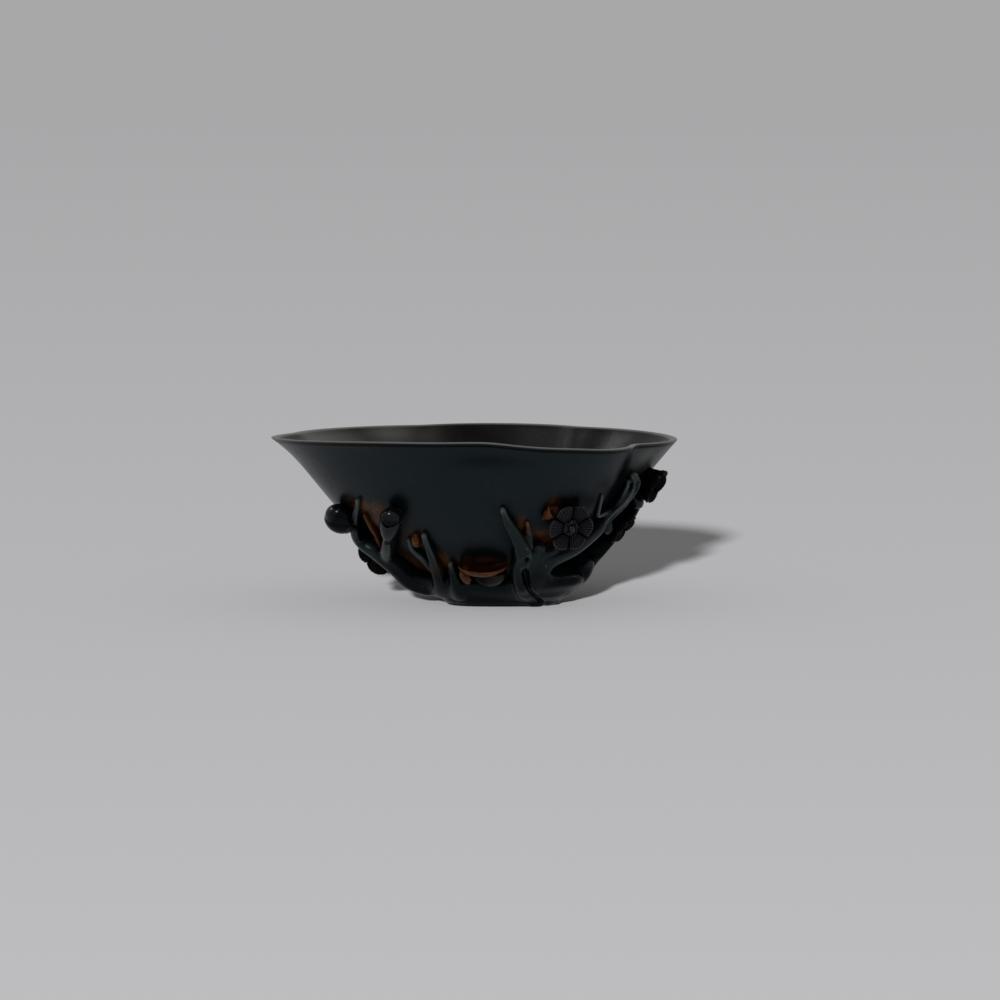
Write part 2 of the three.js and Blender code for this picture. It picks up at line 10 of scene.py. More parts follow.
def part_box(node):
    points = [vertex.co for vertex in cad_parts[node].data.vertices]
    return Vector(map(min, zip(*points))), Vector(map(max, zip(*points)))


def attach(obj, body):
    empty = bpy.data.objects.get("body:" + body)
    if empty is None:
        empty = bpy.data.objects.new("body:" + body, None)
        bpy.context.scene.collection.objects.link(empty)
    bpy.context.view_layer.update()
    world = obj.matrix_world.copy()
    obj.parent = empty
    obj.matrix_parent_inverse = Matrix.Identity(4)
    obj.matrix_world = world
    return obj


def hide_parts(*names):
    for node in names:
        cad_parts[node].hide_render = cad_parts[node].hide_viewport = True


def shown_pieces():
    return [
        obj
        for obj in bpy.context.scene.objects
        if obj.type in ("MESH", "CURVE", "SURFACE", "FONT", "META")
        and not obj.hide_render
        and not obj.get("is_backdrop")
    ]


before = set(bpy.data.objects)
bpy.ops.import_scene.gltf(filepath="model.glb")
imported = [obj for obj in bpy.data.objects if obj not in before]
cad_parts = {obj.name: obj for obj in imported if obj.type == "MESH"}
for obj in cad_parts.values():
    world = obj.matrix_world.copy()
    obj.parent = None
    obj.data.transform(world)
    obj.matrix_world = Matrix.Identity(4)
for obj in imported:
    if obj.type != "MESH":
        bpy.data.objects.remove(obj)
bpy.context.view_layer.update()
mm = 0.001
lipReach = (0.05173, 0.05087)  # of the lip from the foot's axis, to the right and to the back
_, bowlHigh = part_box("bowl")
footAxis = Vector((bowlHigh.x - lipReach[0], bowlHigh.y - lipReach[1], 0))
toPlace = Matrix.Translation(footAxis) @ Matrix.Scale(mm, 4)
print("frame:", len(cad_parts), "nodes")


def onRing(angle, radius, height):
    turn = math.radians(angle)
    return Vector((radius * math.cos(turn), radius * math.sin(turn), height))


def angleOf(spot):
    return math.degrees(math.atan2(spot.y, spot.x))


def clamped(value):
    return min(1, max(0, value))


# The cup's wall

cup = {
    "rimHeight": 48.8,
    "baseHeight": 4.5,
    "floorHeight": 8.5,
    "wellHeight": 12,
    "lipAcross": 2.3,
    "wallAcross": 5,
    "wallTaper": 1.6,  # more makes the wall thin further down
    "lipRound": 0.7,
    "lipSquare": 0.8,  # 1 is round
    "wellCurve": 7,  # more makes the floor flatter
    # reach at the foot, at the lip, the curve between, and the flare under the lip
    "left": (14, 70.4, 0.72, 34),
    "right": (13, 52.6, 0.93, 4),
    "front": (12, 42, 0.82, 0),
    "back": (12, 52, 0.82, 0),
    "flareHigh": 5,  # more puts the flare closer to the lip
    # angle, depth as a share of the radius, width
    "folds": [(-96, 0.055, 13), (-25.5, 0.12, 8), (60, 0.07, 12), (120, 0.07, 12), (168, 0.06, 12)],
    "foldStart": 0.3,
    "foldGrowth": 1.2,
    "foldRound": 3,
    "waves": [(-128, 1.4, 38), (-96, 0.9, 18), (-44, -0.6, 14), (90, 0.6, 50)],  # angle, height, width
    "rimTilt": 0.3,
    "handCut": 0.1,  # how far the wall wanders from true
    "handCutScale": (2.6, 28),
    "lipShadowLine": (0.9, 1.05, 0.35),  # the painted shadow line under the lip: strength, how far down, width
    "lipHighlight": (1.5, 3),  # the painted highlight along the lip: strength, and how fast it fades downwards
    "skin": 1.2,  # how deep the outside's marks go
    "sides": 360,
    "rows": (60, 12, 45, 14),  # of the outside, the lip, the inside and the floor
    "crowding": 1.4,  # more puts more of the outside's rows near the lip
}


def turnBetween(start, end):
    return (end - start + 180) % 360 - 180


def shareUp(height):
    return max(0, (height - cup["baseHeight"]) / (cup["rimHeight"] - cup["baseHeight"]))


def reachAt(side, height):
    base, lip, curve, flare = cup[side]
    share = shareUp(height)
    return base + (lip - base) * share ** curve - flare * share ** cup["flareHigh"] * (1 - share)


def wallRadius(angle, height):
    across, along = math.cos(math.radians(angle)), math.sin(math.radians(angle))
    side = reachAt("left" if across < 0 else "right", height)
    face = reachAt("front" if along < 0 else "back", height)
    folded = max(0, (shareUp(height) - cup["foldStart"]) / (1 - cup["foldStart"])) ** cup["foldGrowth"]
    depth = 0
    for place, deep, width in cup["folds"]:
        away = math.hypot(turnBetween(place, angle), cup["foldRound"]) - cup["foldRound"]
        depth += deep * math.exp(-away / width)
    return (1 - folded * depth) / math.hypot(across / side, along / face)


def cupPoint(angle, height, radius):
    lift = -cup["rimTilt"] * math.cos(math.radians(angle))
    for place, rise, width in cup["waves"]:
        lift += rise * math.exp(-(turnBetween(place, angle) / width) ** 2)
    return onRing(angle, radius, height + lift * shareUp(height) ** 2)


def wallNormal(angle, height):
    level = max(height, cup["baseHeight"] + 0.5)
    here = cupPoint(angle, level, wallRadius(angle, level))
    beside = cupPoint(angle + 0.1, level, wallRadius(angle + 0.1, level)) - here
    above = cupPoint(angle, level + 0.05, wallRadius(angle, level + 0.05)) - here
    return beside.cross(above).normalized()


def wallPoint(angle, height, standOff=0):
    return cupPoint(angle, height, wallRadius(angle, height)) + wallNormal(angle, height) * standOff


# Ways of shaping

def turnBlank(rows, sides):
    # a closed drum with a unit ring for each row and a point at each end, before it is shaped
    bm = bmesh.new()
    chain = [bm.verts.new((0 if row in (0, rows) else 1, 0, row)) for row in range(rows + 1)]
    edges = [bm.edges.new(pair) for pair in zip(chain, chain[1:])]
    bmesh.ops.spin(bm, geom=chain + edges, cent=(0, 0, 0), axis=(0, 0, 1),
                   angle=math.tau, steps=sides, use_merge=True)
    bmesh.ops.remove_doubles(bm, verts=bm.verts, dist=1e-4)
    return bm


def drum(rows, sides, place):
    # place(angle, row) says where a point of the blank goes
    bm = turnBlank(rows, sides)
    for point in bm.verts:
        point.co = place(angleOf(point.co), round(point.co.z))
    bmesh.ops.recalc_face_normals(bm, faces=bm.faces)
    return bm


def turned(profile, sides, outline=None, relief=None):
    # rings of (radius, height), with an outline and a relief that vary round the axis
    def place(angle, row):
        radius, height = profile[row]
        reach = radius * (outline(angle) if outline else 1)
        if relief:
            height += relief(angle, row)
        return onRing(angle, reach, height)
    return drum(len(profile) - 1, sides, place)


def moved(bm, matrix):
    bmesh.ops.transform(bm, matrix=matrix, verts=bm.verts)
    return bm


def paint(bm, mark, strength):
    # gives each point a value, strength(point), that the woods read by the mark's name
    layer = bm.verts.layers.float.new(mark)
    for point in bm.verts:
        point[layer] = strength(point)


def pour(source, target, matrix=Matrix.Identity(4)):
    # adds one shape to another
    mesh = bpy.data.meshes.new("poured")
    moved(source, matrix).to_mesh(mesh)
    source.free()
    target.from_mesh(mesh)
    bpy.data.meshes.remove(mesh)
    return target


def addBead(target, spot, size):
    bead = bmesh.new()
    bmesh.ops.create_icosphere(bead, subdivisions=3, radius=size)
    pour(bead, target, Matrix.Translation(spot))


def newObject(name, bm):
    mesh = bpy.data.meshes.new(name)
    bm.to_mesh(mesh)
    bm.free()
    piece = bpy.data.objects.new(name, mesh)
    bpy.context.scene.collection.objects.link(piece)
    return piece


def baked(piece):
    # the shape with its modifiers worked in, and the object gone
    made = bpy.data.meshes.new_from_object(piece.evaluated_get(bpy.context.evaluated_depsgraph_get()))
    bpy.data.objects.remove(piece)
    bm = bmesh.new()
    bm.from_mesh(made)
    bpy.data.meshes.remove(made)
    return bm


def soften(bm, rounds, below=None, step=0):
    # below falls by a step each round, so that the softening fades out upwards
    for index in range(rounds):
        verts = [v for v in bm.verts if below is None or v.co.z < below - step * index]
        bmesh.ops.smooth_vert(bm, verts=verts, factor=0.5, use_axis_x=True, use_axis_y=True, use_axis_z=True)


def fuse(name, bm, voxel):
    # makes overlapping shapes one skin
    piece = newObject(name, bm)
    remesh = piece.modifiers.new("fuse", "REMESH")
    remesh.mode = "VOXEL"
    remesh.voxel_size = voxel
    return baked(piece)


def thin(name, bm, faces):
    # fewer faces where the shape is calm
    bmesh.ops.triangulate(bm, faces=bm.faces)
    count = len(bm.faces)
    piece = newObject(name, bm)
    if count > faces:
        fewer = piece.modifiers.new("thin", "DECIMATE")
        fewer.ratio = faces / count
    return baked(piece)


def finishPiece(name, bm, materials, slotName, *nodes):
    # puts a shape in its place and lets it stand for its nodes
    for face in bm.faces:
        face.smooth = True
    piece = newObject(name, moved(bm, toPlace))
    for material in materials:
        piece.data.materials.append(material)
    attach(piece, "root")
    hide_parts(*nodes)


def between(knots, share):
    # a smooth course through the knots, share 0 to 1
    last = len(knots) - 1
    at = min(share * last, last - 1e-9)
    index = int(at)
    part = at - index
    k1, k2 = knots[index], knots[index + 1]
    k0 = knots[index - 1] if index else [2 * a - b for a, b in zip(k1, k2)]
    k3 = knots[index + 2] if index + 2 <= last else [2 * b - a for a, b in zip(k1, k2)]
    return [
        0.5 * (2 * b + (c - a) * part + (2 * a - 5 * b + 4 * c - d) * part ** 2
               + (3 * b - a - 3 * c + d) * part ** 3)
        for a, b, c, d in zip(k0, k1, k2, k3)
    ]


limbShape = {
    "rooting": 0.6,  # how far a limb reaches past the wall's surface
    "squareness": 0.78,  # 1 is round, less is flatter on top with firmer shoulders
    "gnarl": 0.09,  # how uneven the girth is, as a share
    "gnarlLength": 4.5,
    "gnarlTurn": 120,
    "channelWidth": 34,  # degrees
    "rowsPerKnot": 9,
    "sides": 28,
}


def limb(knots, channel=None):
    # knots of (angle, height, stand-off, radius); channel(share) hollows the outer face
    rows = limbShape["rowsPerKnot"] * (len(knots) - 1)
    course = []
    for row in range(rows + 1):
        share = 0.5 - 0.5 * math.cos(math.pi * row / rows)
        angle, height, off, radius = between(knots, share)
        course.append((share, wallPoint(angle, height, off), wallNormal(angle, height), off, radius))
    gone = [0]
    for one, other in zip(course, course[1:]):
        gone.append(gone[-1] + (other[1] - one[1]).length)

    def place(angle, row):
        share, centre, out, off, radius = course[row]
        tangent = (course[min(row + 1, rows)][1] - course[max(row - 1, 0)][1]).normalized()
        out = (out - tangent * out.dot(tangent)).normalized()
        side = out.cross(tangent)
        start = min(1, gone[row] / radius)
        end = min(1, (gone[-1] - gone[row]) / radius)
        cap = math.sqrt(max(0, 1 - (1 - start) ** 2)) * math.sqrt(max(0, 1 - (1 - end) ** 2))
        across, rise = math.cos(math.radians(angle)), math.sin(math.radians(angle))
        spot = centre / limbShape["gnarlLength"] + Vector((0, 0, angle / limbShape["gnarlTurn"]))
        uneven = 1 + limbShape["gnarl"] * noise.noise(spot)
        square = limbShape["squareness"]
        wide = radius * uneven * math.copysign(abs(across) ** square, across)
        if rise > 0:
            deep = radius * uneven * rise ** square
            if channel:
                deep -= radius * channel(share) * math.exp(-((angle - 90) / limbShape["channelWidth"]) ** 2)
        else:
            deep = max(radius, off + limbShape["rooting"]) * rise
        return centre + side * wide * cap + out * deep * cap
    return drum(rows, limbShape["sides"], place)


def facing(angle, height, standOff, tip=0, spin=0, aside=0):
    # own Z is the wall's normal, Y goes up the wall and X to the right, seen from outside
    normal = wallNormal(angle, height)
    side = Vector((0, 0, 1)).cross(normal).normalized()
    up = normal.cross(side)
    turn = Matrix((side, up, normal)).transposed().to_4x4()
    turn = Matrix.Translation(wallPoint(angle, height, standOff)) @ turn
    turn = turn @ Matrix.Rotation(math.radians(aside), 4, "Y") @ Matrix.Rotation(math.radians(tip), 4, "X")
    return turn @ Matrix.Rotation(math.radians(spin), 4, "Z")


def lying(angle, height, standOff, rise, spin):
    # own Z lies along the wall, pointing up before it is spun, and Y points into the wall
    return facing(angle, height, standOff, 0, spin) @ Matrix.Rotation(math.radians(rise - 90), 4, "X")


def gouge(bm, course, width, depth, steps=40, below=2.5, taper=6, blunt=0.4):
    # presses a rounded groove into a shape along a course of (angle, height, stand-off);
    # what lies further below the course stays, and the groove starts blunt and grows over its taper
    track = []
    for step in range(steps + 1):
        angle, height, off = between(course, step / steps)
        track.append((wallPoint(angle, height, off), wallNormal(angle, height), step / steps))
    middle = sum((spot for spot, _, _ in track), Vector()) / len(track)
    far = max((spot - middle).length for spot, _, _ in track) + 4 * width
    for point in bm.verts:
        if (point.co - middle).length > far:
            continue
        nearest, normal, share = min(track, key=lambda spot: (spot[0] - point.co).length_squared)
        away = point.co - nearest
        away -= normal * away.dot(normal)
        if (point.co - nearest).dot(normal) < -below:
            continue
        ends = min(1, taper * share + blunt, taper * (1 - share) + blunt)
        point.co -= normal * depth * ends * math.exp(-(away.length / width) ** 2)


# Wood

woods = {
    # dark, light and edge colours (for worn edges, and for the painted highlight lines along ridges), tint of the
    # gleam, roughness, IOR, coat
    "outside": ((0.0012, 0.0028, 0.0036), (0.004, 0.0062, 0.007), (0.03, 0.036, 0.036),
                (0.64, 0.88, 0.98), 0.3, 1.37, 0),
    "inside": ((0.002, 0.002, 0.0018), (0.012, 0.009, 0.0065), (0.05, 0.045, 0.04),
               (0.95, 0.95, 1.0), 0.3, 1.36, 0),
    "limb": ((0.0014, 0.003, 0.0036), (0.006, 0.009, 0.0095), (0.075, 0.087, 0.085),
             (0.68, 0.9, 0.98), 0.28, 1.38, 0.03),
    "petal": ((0.0012, 0.0014, 0.0018), (0.005, 0.006, 0.007), (0.03, 0.028, 0.033),
              (0.3, 0.31, 0.35), 0.34, 1.33, 0),
    "bud": ((0.0016, 0.002, 0.0024), (0.005, 0.006, 0.007), (0.03, 0.035, 0.036),
            (0.8, 0.92, 1.0), 0.13, 1.42, 0.1),
    "sepal": ((0.02, 0.006, 0.002), (0.17, 0.055, 0.014), (0.25, 0.1, 0.035), (1.0, 0.75, 0.5), 0.3, 1.3, 0),
    # deep: a dark red-brown, darker than the sepal, partly painted shade in the half-open blossom's hollow
    "deep": ((0.008, 0.0015, 0.001), (0.05, 0.01, 0.004), (0.09, 0.03, 0.015), (1.0, 0.9, 0.85), 0.34, 1.25, 0),
    "dome": ((0.003, 0.0025, 0.002), (0.014, 0.011, 0.008), (0.03, 0.022, 0.014), (0.95, 0.97, 1.0), 0.22, 1.29, 0),
    "warm": (0.15, 0.05, 0.014),  # the brown wood that shows in the recesses, which also stands for a painted warm reflection
    "warmDeep": (0.02, 0.004, 0.002),
    "warmSpan": (0.3, 0.62),  # where in their noise the streaks start and are full
    # the gleam tinted warm in the recesses: a painted warm reflection
    "warmGleam": (1.0, 0.62, 0.36),
    "pale": (0.18, 0.182, 0.166),  # painted highlight and reflection: the colour of the pale marks on the wall, along the lip and inside
    # painted highlight lines along the petals' veins and rims: a paler colour and a stronger gleam
    "vein": (0.024, 0.022, 0.027),
    "veinGleam": 2.4,
    "wornSpan": (0.52, 0.62),  # pointiness at which a worn edge starts and is strongest
    "wornMost": 0.5,
    # painted shade in crevices, from ambient occlusion
    "creviceReach": 0.006,
    "creviceDim": 0.75,
    "creviceSpan": (0.3, 0.95),
    "creviceSamples": 6,
    "shine": (0.5, 0.04),  # specular level in the open and where shade is painted
    "coatRough": 0.12,
    # noises: scale per metre, detail, stretch and distortion
    "grain": (110, 6, (6, 6, 1), 0.6),
    "mottle": (70, 4, (1, 1, 1), 0),
    "pores": (900, 3, (3, 3, 0.5), 0),
    "streaks": (260, 4, (1, 1, 0.6), 0.8),
    "grainTone": (0.2, 1),
    "mottleTone": (0.3, 1.1),
    "mottleRough": (-0.05, 0.07),
    # bumps: strength, and depth in metres
    "poreBump": (0.12, 0.00012),
    "grainBump": (0.1, 0.0006),
}


def feed(tree, socket, value):
    # the value is a plain one, a colour or another node's output
    if isinstance(value, bpy.types.NodeSocket):
        tree.links.new(value, socket)
    elif socket.type == "RGBA":
        socket.default_value = (*value, 1)
    else:
        socket.default_value = value


def addNode(tree, kind, inputs=None, **settings):
    made = tree.nodes.new(kind)
    for name, value in settings.items():
        setattr(made, name, value)
    for name, value in (inputs or {}).items():
        feed(tree, made.inputs[name], value)
    return made


def addMix(tree, factor, first, second):
    colours = {"Factor": factor, 6: first, 7: second}
    return addNode(tree, "ShaderNodeMix", colours, data_type="RGBA").outputs[2]


def addMath(tree, operation, first, second):
    return addNode(tree, "ShaderNodeMath", {0: first, 1: second}, operation=operation).outputs[0]


def wood(name, warmed=False):
    # dark polished hardwood: grain, mottling, pores and worn edges; painted shade in crevices and where marked;
    # painted highlights along ridges, veins and where marked; and a warm brown in recesses, partly a painted warm
    # reflection
    dark, light, edge, tint, roughness, ior, coat = woods[name]
    material = bpy.data.materials.new(name + "Wood")
    material.use_nodes = True
    tree = material.node_tree
    shader = tree.nodes["Principled BSDF"]
    place = addNode(tree, "ShaderNodeTexCoord")

    def noiseOf(scale, detail, stretch, distortion):
        mapping = addNode(tree, "ShaderNodeMapping", {"Scale": stretch, "Vector": place.outputs["Object"]})
        return addNode(tree, "ShaderNodeTexNoise", {
            "Vector": mapping.outputs["Vector"], "Scale": scale, "Detail": detail, "Distortion": distortion,
        }).outputs["Fac"]

    def ramp(source, low, high, start=0.35, end=0.65):
        return addNode(tree, "ShaderNodeMapRange", {
            "Value": source, "From Min": start, "From Max": end, "To Min": low, "To Max": high,
        }).outputs["Result"]

    def marked(attribute):
        return addNode(tree, "ShaderNodeAttribute", attribute_name=attribute).outputs["Fac"]

    grain, mottle, pores = [noiseOf(*woods[key]) for key in ("grain", "mottle", "pores")]
    tone = addMath(tree, "MULTIPLY", ramp(grain, *woods["grainTone"]), ramp(mottle, *woods["mottleTone"]))
    colour = addMix(tree, tone, dark, light)

    # worn, paler edges; painted highlight lines along the ridges, and painted highlights where marked pale
    geometry = addNode(tree, "ShaderNodeNewGeometry")
    worn = ramp(geometry.outputs["Pointiness"], 0, woods["wornMost"], *woods["wornSpan"])
    colour = addMix(tree, worn, colour, edge)
    colour = addMix(tree, marked("ridgeHighlight"), colour, edge)
    colour = addMix(tree, marked("pale"), colour, woods["pale"])
    gleam = tint
    # painted highlight lines along the petals' veins and rims
    if name == "petal":
        colour = addMix(tree, marked("vein"), colour, woods["vein"])
        gleam = addMix(tree, marked("vein"), tint, tuple(woods["veinGleam"] * part for part in tint))

    # painted shade: darker colour and a weaker gleam in crevices, from ambient occlusion, and where marked shade
    crevice = addNode(tree, "ShaderNodeAmbientOcclusion", {"Distance": woods["creviceReach"]},
                      samples=woods["creviceSamples"])
    hollow = ramp(crevice.outputs["AO"], woods["creviceDim"], 0, *woods["creviceSpan"])
    dim = addMath(tree, "MAXIMUM", hollow, marked("shade"))
    colour = addMix(tree, dim, colour, tuple(0.5 * part for part in dark))
    # brown wood in the recesses, with a painted warm reflection: the gleam tinted warm there
    if warmed:
        streaks = ramp(noiseOf(*woods["streaks"]), 0, 1, *woods["warmSpan"])
        colour = addMix(tree, marked("recess"), colour, addMix(tree, streaks, woods["warmDeep"], woods["warm"]))
        gleam = addMix(tree, marked("recess"), gleam, woods["warmGleam"])

    under = {}
    for height, (strength, depth) in ((pores, woods["poreBump"]), (grain, woods["grainBump"])):
        bump = addNode(tree, "ShaderNodeBump", {"Strength": strength, "Distance": depth, "Height": height, **under})
        under = {"Normal": bump.outputs["Normal"]}
    for socket, value in (
        ("IOR", ior),
        ("Coat Weight", coat),
        ("Coat Roughness", woods["coatRough"]),
        ("Specular Tint", tint),  # stays under the link, where there is one
        ("Specular Tint", gleam),
        ("Specular IOR Level", ramp(dim, *woods["shine"], 0, 1)),
        ("Base Color", colour),
        ("Roughness", ramp(mottle, *[roughness + more for more in woods["mottleRough"]])),
        ("Normal", under["Normal"]),
    ):
        feed(tree, shader.inputs[socket], value)
    return material


outsideWood = wood("outside", warmed=True)
insideWood = wood("inside")
limbWood = wood("limb", warmed=True)
petalWood = wood("petal")
budWood = wood("bud")
sepalWood = wood("sepal")
deepWood = wood("deep")
domeWood = wood("dome")
print("woods done")


# Bowl

marks = {
    # places on the outside: angle, height, reach round and up in mm, strength
    # brown wood showing in the recesses, partly a painted warm reflection
    "recess": [
        (-156, 30.5, 4, 1.8, 0.7), (-150, 29, 3.5, 2.4, 0.7), (-155, 25, 3, 3, 0.55), (-141, 21.5, 3, 2, 0.4),
        (-134, 14, 1.6, 3, 0.7), (-108, 14.2, 7, 1.2, 0.3), (-79, 25.5, 1.5, 2.5, 0.7), (-66.5, 22.4, 2.4, 1.6, 1),
        (-62, 20.5, 2.4, 1.6, 0.6), (-64, 32, 2, 2.2, 0.4), (-158, 13, 4, 4, 0.25),
    ],
    # painted shade round the branches, buds and blossoms and in the folds, darkening colour and gleam
    "shade": [
        (-19, 33, 6, 7, 0.9), (-8, 35, 6, 6, 0.8), (-30, 29, 6, 5, 0.75), (-2, 30, 7, 9, 0.85), (-54, 27, 10, 8, 0.6),
        (-95, 45, 11, 2.2, 0.5), (-152, 13, 8, 5, 0.75), (-104, 17, 10, 2.6, 0.7), (-40, 22, 9, 4, 0.7),
        (-78, 20, 5, 5, 0.6), (-88, 30, 3, 3, 0.3), (-127, 14, 5, 5, 0.6), (-34, 35, 6, 4.5, 0.9),
        (-29, 39.5, 5.5, 3.8, 0.9), (-43, 32, 7, 4, 0.85), (-52, 33, 8, 3, 0.8), (-5, 19, 14, 7, 0.95),
        (-14, 25, 8, 5, 0.9), (-38, 37, 5, 3.5, 0.8), (-84, 22, 3, 6, 0.5), (-146, 20, 6, 5, 0.5),
    ],
    # painted highlight and reflection on the right lobe, near the lip and at the left edge
    "pale": [
        (-19.5, 44.5, 4, 4, 0.55), (-12, 43.5, 8, 4, 0.38), (-2, 44, 8, 5, 0.27), (-172, 45, 8, 4, 0.14),
    ],
    # and on the inside
    # painted highlight on the inside's left
    "insidePale": [
        (158, 47.5, 13, 8, 0.75), (131, 48.5, 8, 5, 0.7), (120, 46, 6, 3, 0.3),
    ],
    # painted shade on the inside
    "insideShade": [
        (103, 47, 13, 8, 0.55), (30, 49, 8, 2, 0.3),
    ],
    # and on the branches
    # brown wood in the branches' recesses, partly a painted warm reflection
    "limbRecess": [
        (-75, 25.5, 1.3, 2.6, 0.85), (-62, 20.8, 2.5, 1.2, 0.6), (-134, 12, 1.5, 2, 0.3),
    ],
}


def insideRadius(angle, height):
    share = min(1, shareUp(height) * cup["wallTaper"])
    return wallRadius(angle, height) - cup["wallAcross"] - (cup["lipAcross"] - cup["wallAcross"]) * share


def cut(angle, height):
    # the small wandering of a wall cut by hand
    scale, upScale = cup["handCutScale"]
    return cup["handCut"] * noise.noise(onRing(angle, 1, height / upScale) * scale)


def bowlRings():
    base, rim, lipRound = cup["baseHeight"], cup["rimHeight"], cup["lipRound"]
    lip, well, floor = cup["lipAcross"], cup["wellHeight"], cup["floorHeight"]
    outerRows, lipRows, innerRows, floorRows = cup["rows"]
    rings = [lambda angle, s=s: cupPoint(angle, base, s * wallRadius(angle, base)) for s in (0, 0.5, 0.9)]
    for step in range(outerRows + 1):
        height = base + (rim - lipRound - base) * (1 - (1 - step / outerRows) ** cup["crowding"])
        rings.append(lambda angle, h=height: cupPoint(angle, h, wallRadius(angle, h) + cut(angle, h)))
    for step in range(1, lipRows):
        turn = math.pi * step / lipRows
        drop = lipRound * (1 - math.sin(turn) ** cup["lipSquare"])
        out = lip / 2 * math.copysign(abs(math.cos(turn)) ** cup["lipSquare"], math.cos(turn))
        rings.append(lambda angle, h=rim - drop, o=out: cupPoint(angle, h, wallRadius(angle, h) - lip / 2 + o))
    for step in range(innerRows + 1):
        height = rim - lipRound - (rim - lipRound - well) * step / innerRows
        rings.append(lambda angle, h=height: cupPoint(angle, h, insideRadius(angle, h) + cut(angle + 90, h)))
    for step in range(1, floorRows + 1):
        s = 1 - step / floorRows
        rings.append(lambda angle, s=s: cupPoint(angle, floor + (well - floor) * s ** cup["wellCurve"],
                                                 s * insideRadius(angle, well)))
    return rings


def markAt(mark, angle, height):
    found = 0
    for place, level, wide, high, strength in marks[mark]:
        aside = math.radians(turnBetween(place, angle)) * wallRadius(angle, height)
        found = max(found, strength * math.exp(-(aside / wide) ** 2 - ((height - level) / high) ** 2))
    return found


def bowlMark(mark, point):
    angle = angleOf(point.co)
    drop = cupPoint(angle, cup["rimHeight"], 1).z - point.co.z
    edge = 0
    # the painted shadow line under the lip, and the painted highlight along its top
    if mark == "shade":
        strength, down, width = cup["lipShadowLine"]
        edge = strength * math.exp(-((drop - down) / width) ** 2)
    elif mark == "pale":
        strength, fade = cup["lipHighlight"]
        edge = clamped(strength - fade * drop)
    outer = math.hypot(point.co.x, point.co.y) > wallRadius(angle, point.co.z) - cup["skin"]
    side = mark if outer else "inside" + mark.capitalize()
    return max(markAt(side, angle, point.co.z) if side in marks else 0, edge)


def makeBowl():
    rings = bowlRings()
    bm = drum(len(rings) - 1, cup["sides"], lambda angle, row: rings[row](angle))
    # painted shade and painted highlights, and the warm recesses, as marks that the woods read
    for mark in ("recess", "shade", "pale"):
        paint(bm, mark, lambda point: bowlMark(mark, point))
    for face in bm.faces:
        centre = face.calc_center_median()
        inner = wallRadius(angleOf(centre), centre.z) - cup["lipAcross"] / 2
        if math.hypot(centre.x, centre.y) < inner and centre.z > cup["baseHeight"] + 0.1:
            face.material_index = 1
    finishPiece("carvedBowl", bm, [outsideWood, insideWood], "bowl", "bowl")


makeBowl()
print("bowl done")


# Branches: every limb is a list of (angle, height, stand-off, radius)

front = {
    "trunk": [
        (-38, 4.8, 4.2, 2.8), (-65, 7.5, 4.2, 2.9), (-75, 11, 3.8, 2.2), (-78, 14.5, 3.6, 2.2),
        (-76, 18, 3.4, 2.8), (-78, 20.5, 3, 2.5), (-82, 24, 2.3, 1.9), (-87, 27.5, 1.4, 1.3),
        (-90, 31, 0.8, 0.8),
    ],
    "rightBranch": [
        (-33, 5.2, 4.6, 3.2), (-50, 9.5, 4.6, 3.2), (-61, 13.5, 4.4, 2.7), (-60, 16.5, 4, 2.5),
        (-51, 18, 3.4, 2.1), (-41, 19.5, 3, 1.7), (-34, 22, 2.8, 1.5), (-28, 25, 2.6, 1.4),
        (-25, 28, 2.6, 1.3), (-21, 31, 2.5, 1.3), (-19, 34.5, 2.3, 1.4), (-19, 37.5, 1.8, 1.5),
        (-23, 40.5, 1, 1.2),
    ],
    "lowRight": [
        (-26, 5.2, 5, 3.2), (-21, 7.5, 5.4, 3.6), (-19, 10.5, 5.4, 3.2), (-17, 13, 5, 2.6),
        (-20, 16.5, 4.5, 1.5),
    ],
    "side": [
        (2, 6.5, 4.8, 3.4), (-2, 11, 4.4, 2.6), (-6, 15.5, 4, 2), (-7, 20, 4, 1.8), (-4, 24, 4, 1.8),
        (-3, 28, 3.8, 1.7), (-6, 31.5, 3.2, 1.4), (-9, 35, 2.6, 1.2),
    ],
    # the smooth wood between the trunk and the right branch, and below the branch
    "web": [
        (-58, 7, 3.6, 3), (-66, 10.5, 3.4, 2.9), (-69, 14.5, 3.1, 2.8), (-69.5, 17.5, 2.8, 2.5),
        (-71, 20, 2, 1.9),
    ],
    "crook": [
        (-64, 12, 3.4, 2.7), (-63.5, 15.5, 3.1, 2.7), (-62.5, 17.6, 2.6, 2.5), (-57, 18.6, 2.2, 2.2),
        (-52, 19, 2, 1.8),
    ],
    "webTop": [(-71, 19.6, 1.9, 1.8), (-66, 19.3, 1.9, 2), (-61, 19, 2, 2)],
    "lowBody": [
        (-60, 9, 4.4, 3), (-51, 10.3, 4.8, 3.3), (-39, 10.8, 5, 3.5), (-29, 11.2, 5.2, 3.5),
        (-21, 11.3, 5.2, 3.2),
    ],
    "spur": [(-73, 19.5, 2.9, 1.5), (-73.5, 22.5, 1.9, 1.1), (-74.5, 24.7, 1.2, 0.85), (-75.8, 27, 0.6, 0.6)],
    "thinTwig": [
        (-33.5, 27.8, 1, 0.6), (-28, 28.8, 1.4, 0.65), (-23.3, 30.2, 1.6, 0.65), (-21.8, 33, 1.6, 0.65),
        (-22, 36, 1.4, 0.65), (-22.6, 38.6, 1, 0.6),
    ],
    "smallTwig": [(-33, 28, 0.8, 0.6), (-35.5, 31, 0.6, 0.5), (-38.3, 34.6, 0.4, 0.45)],
}
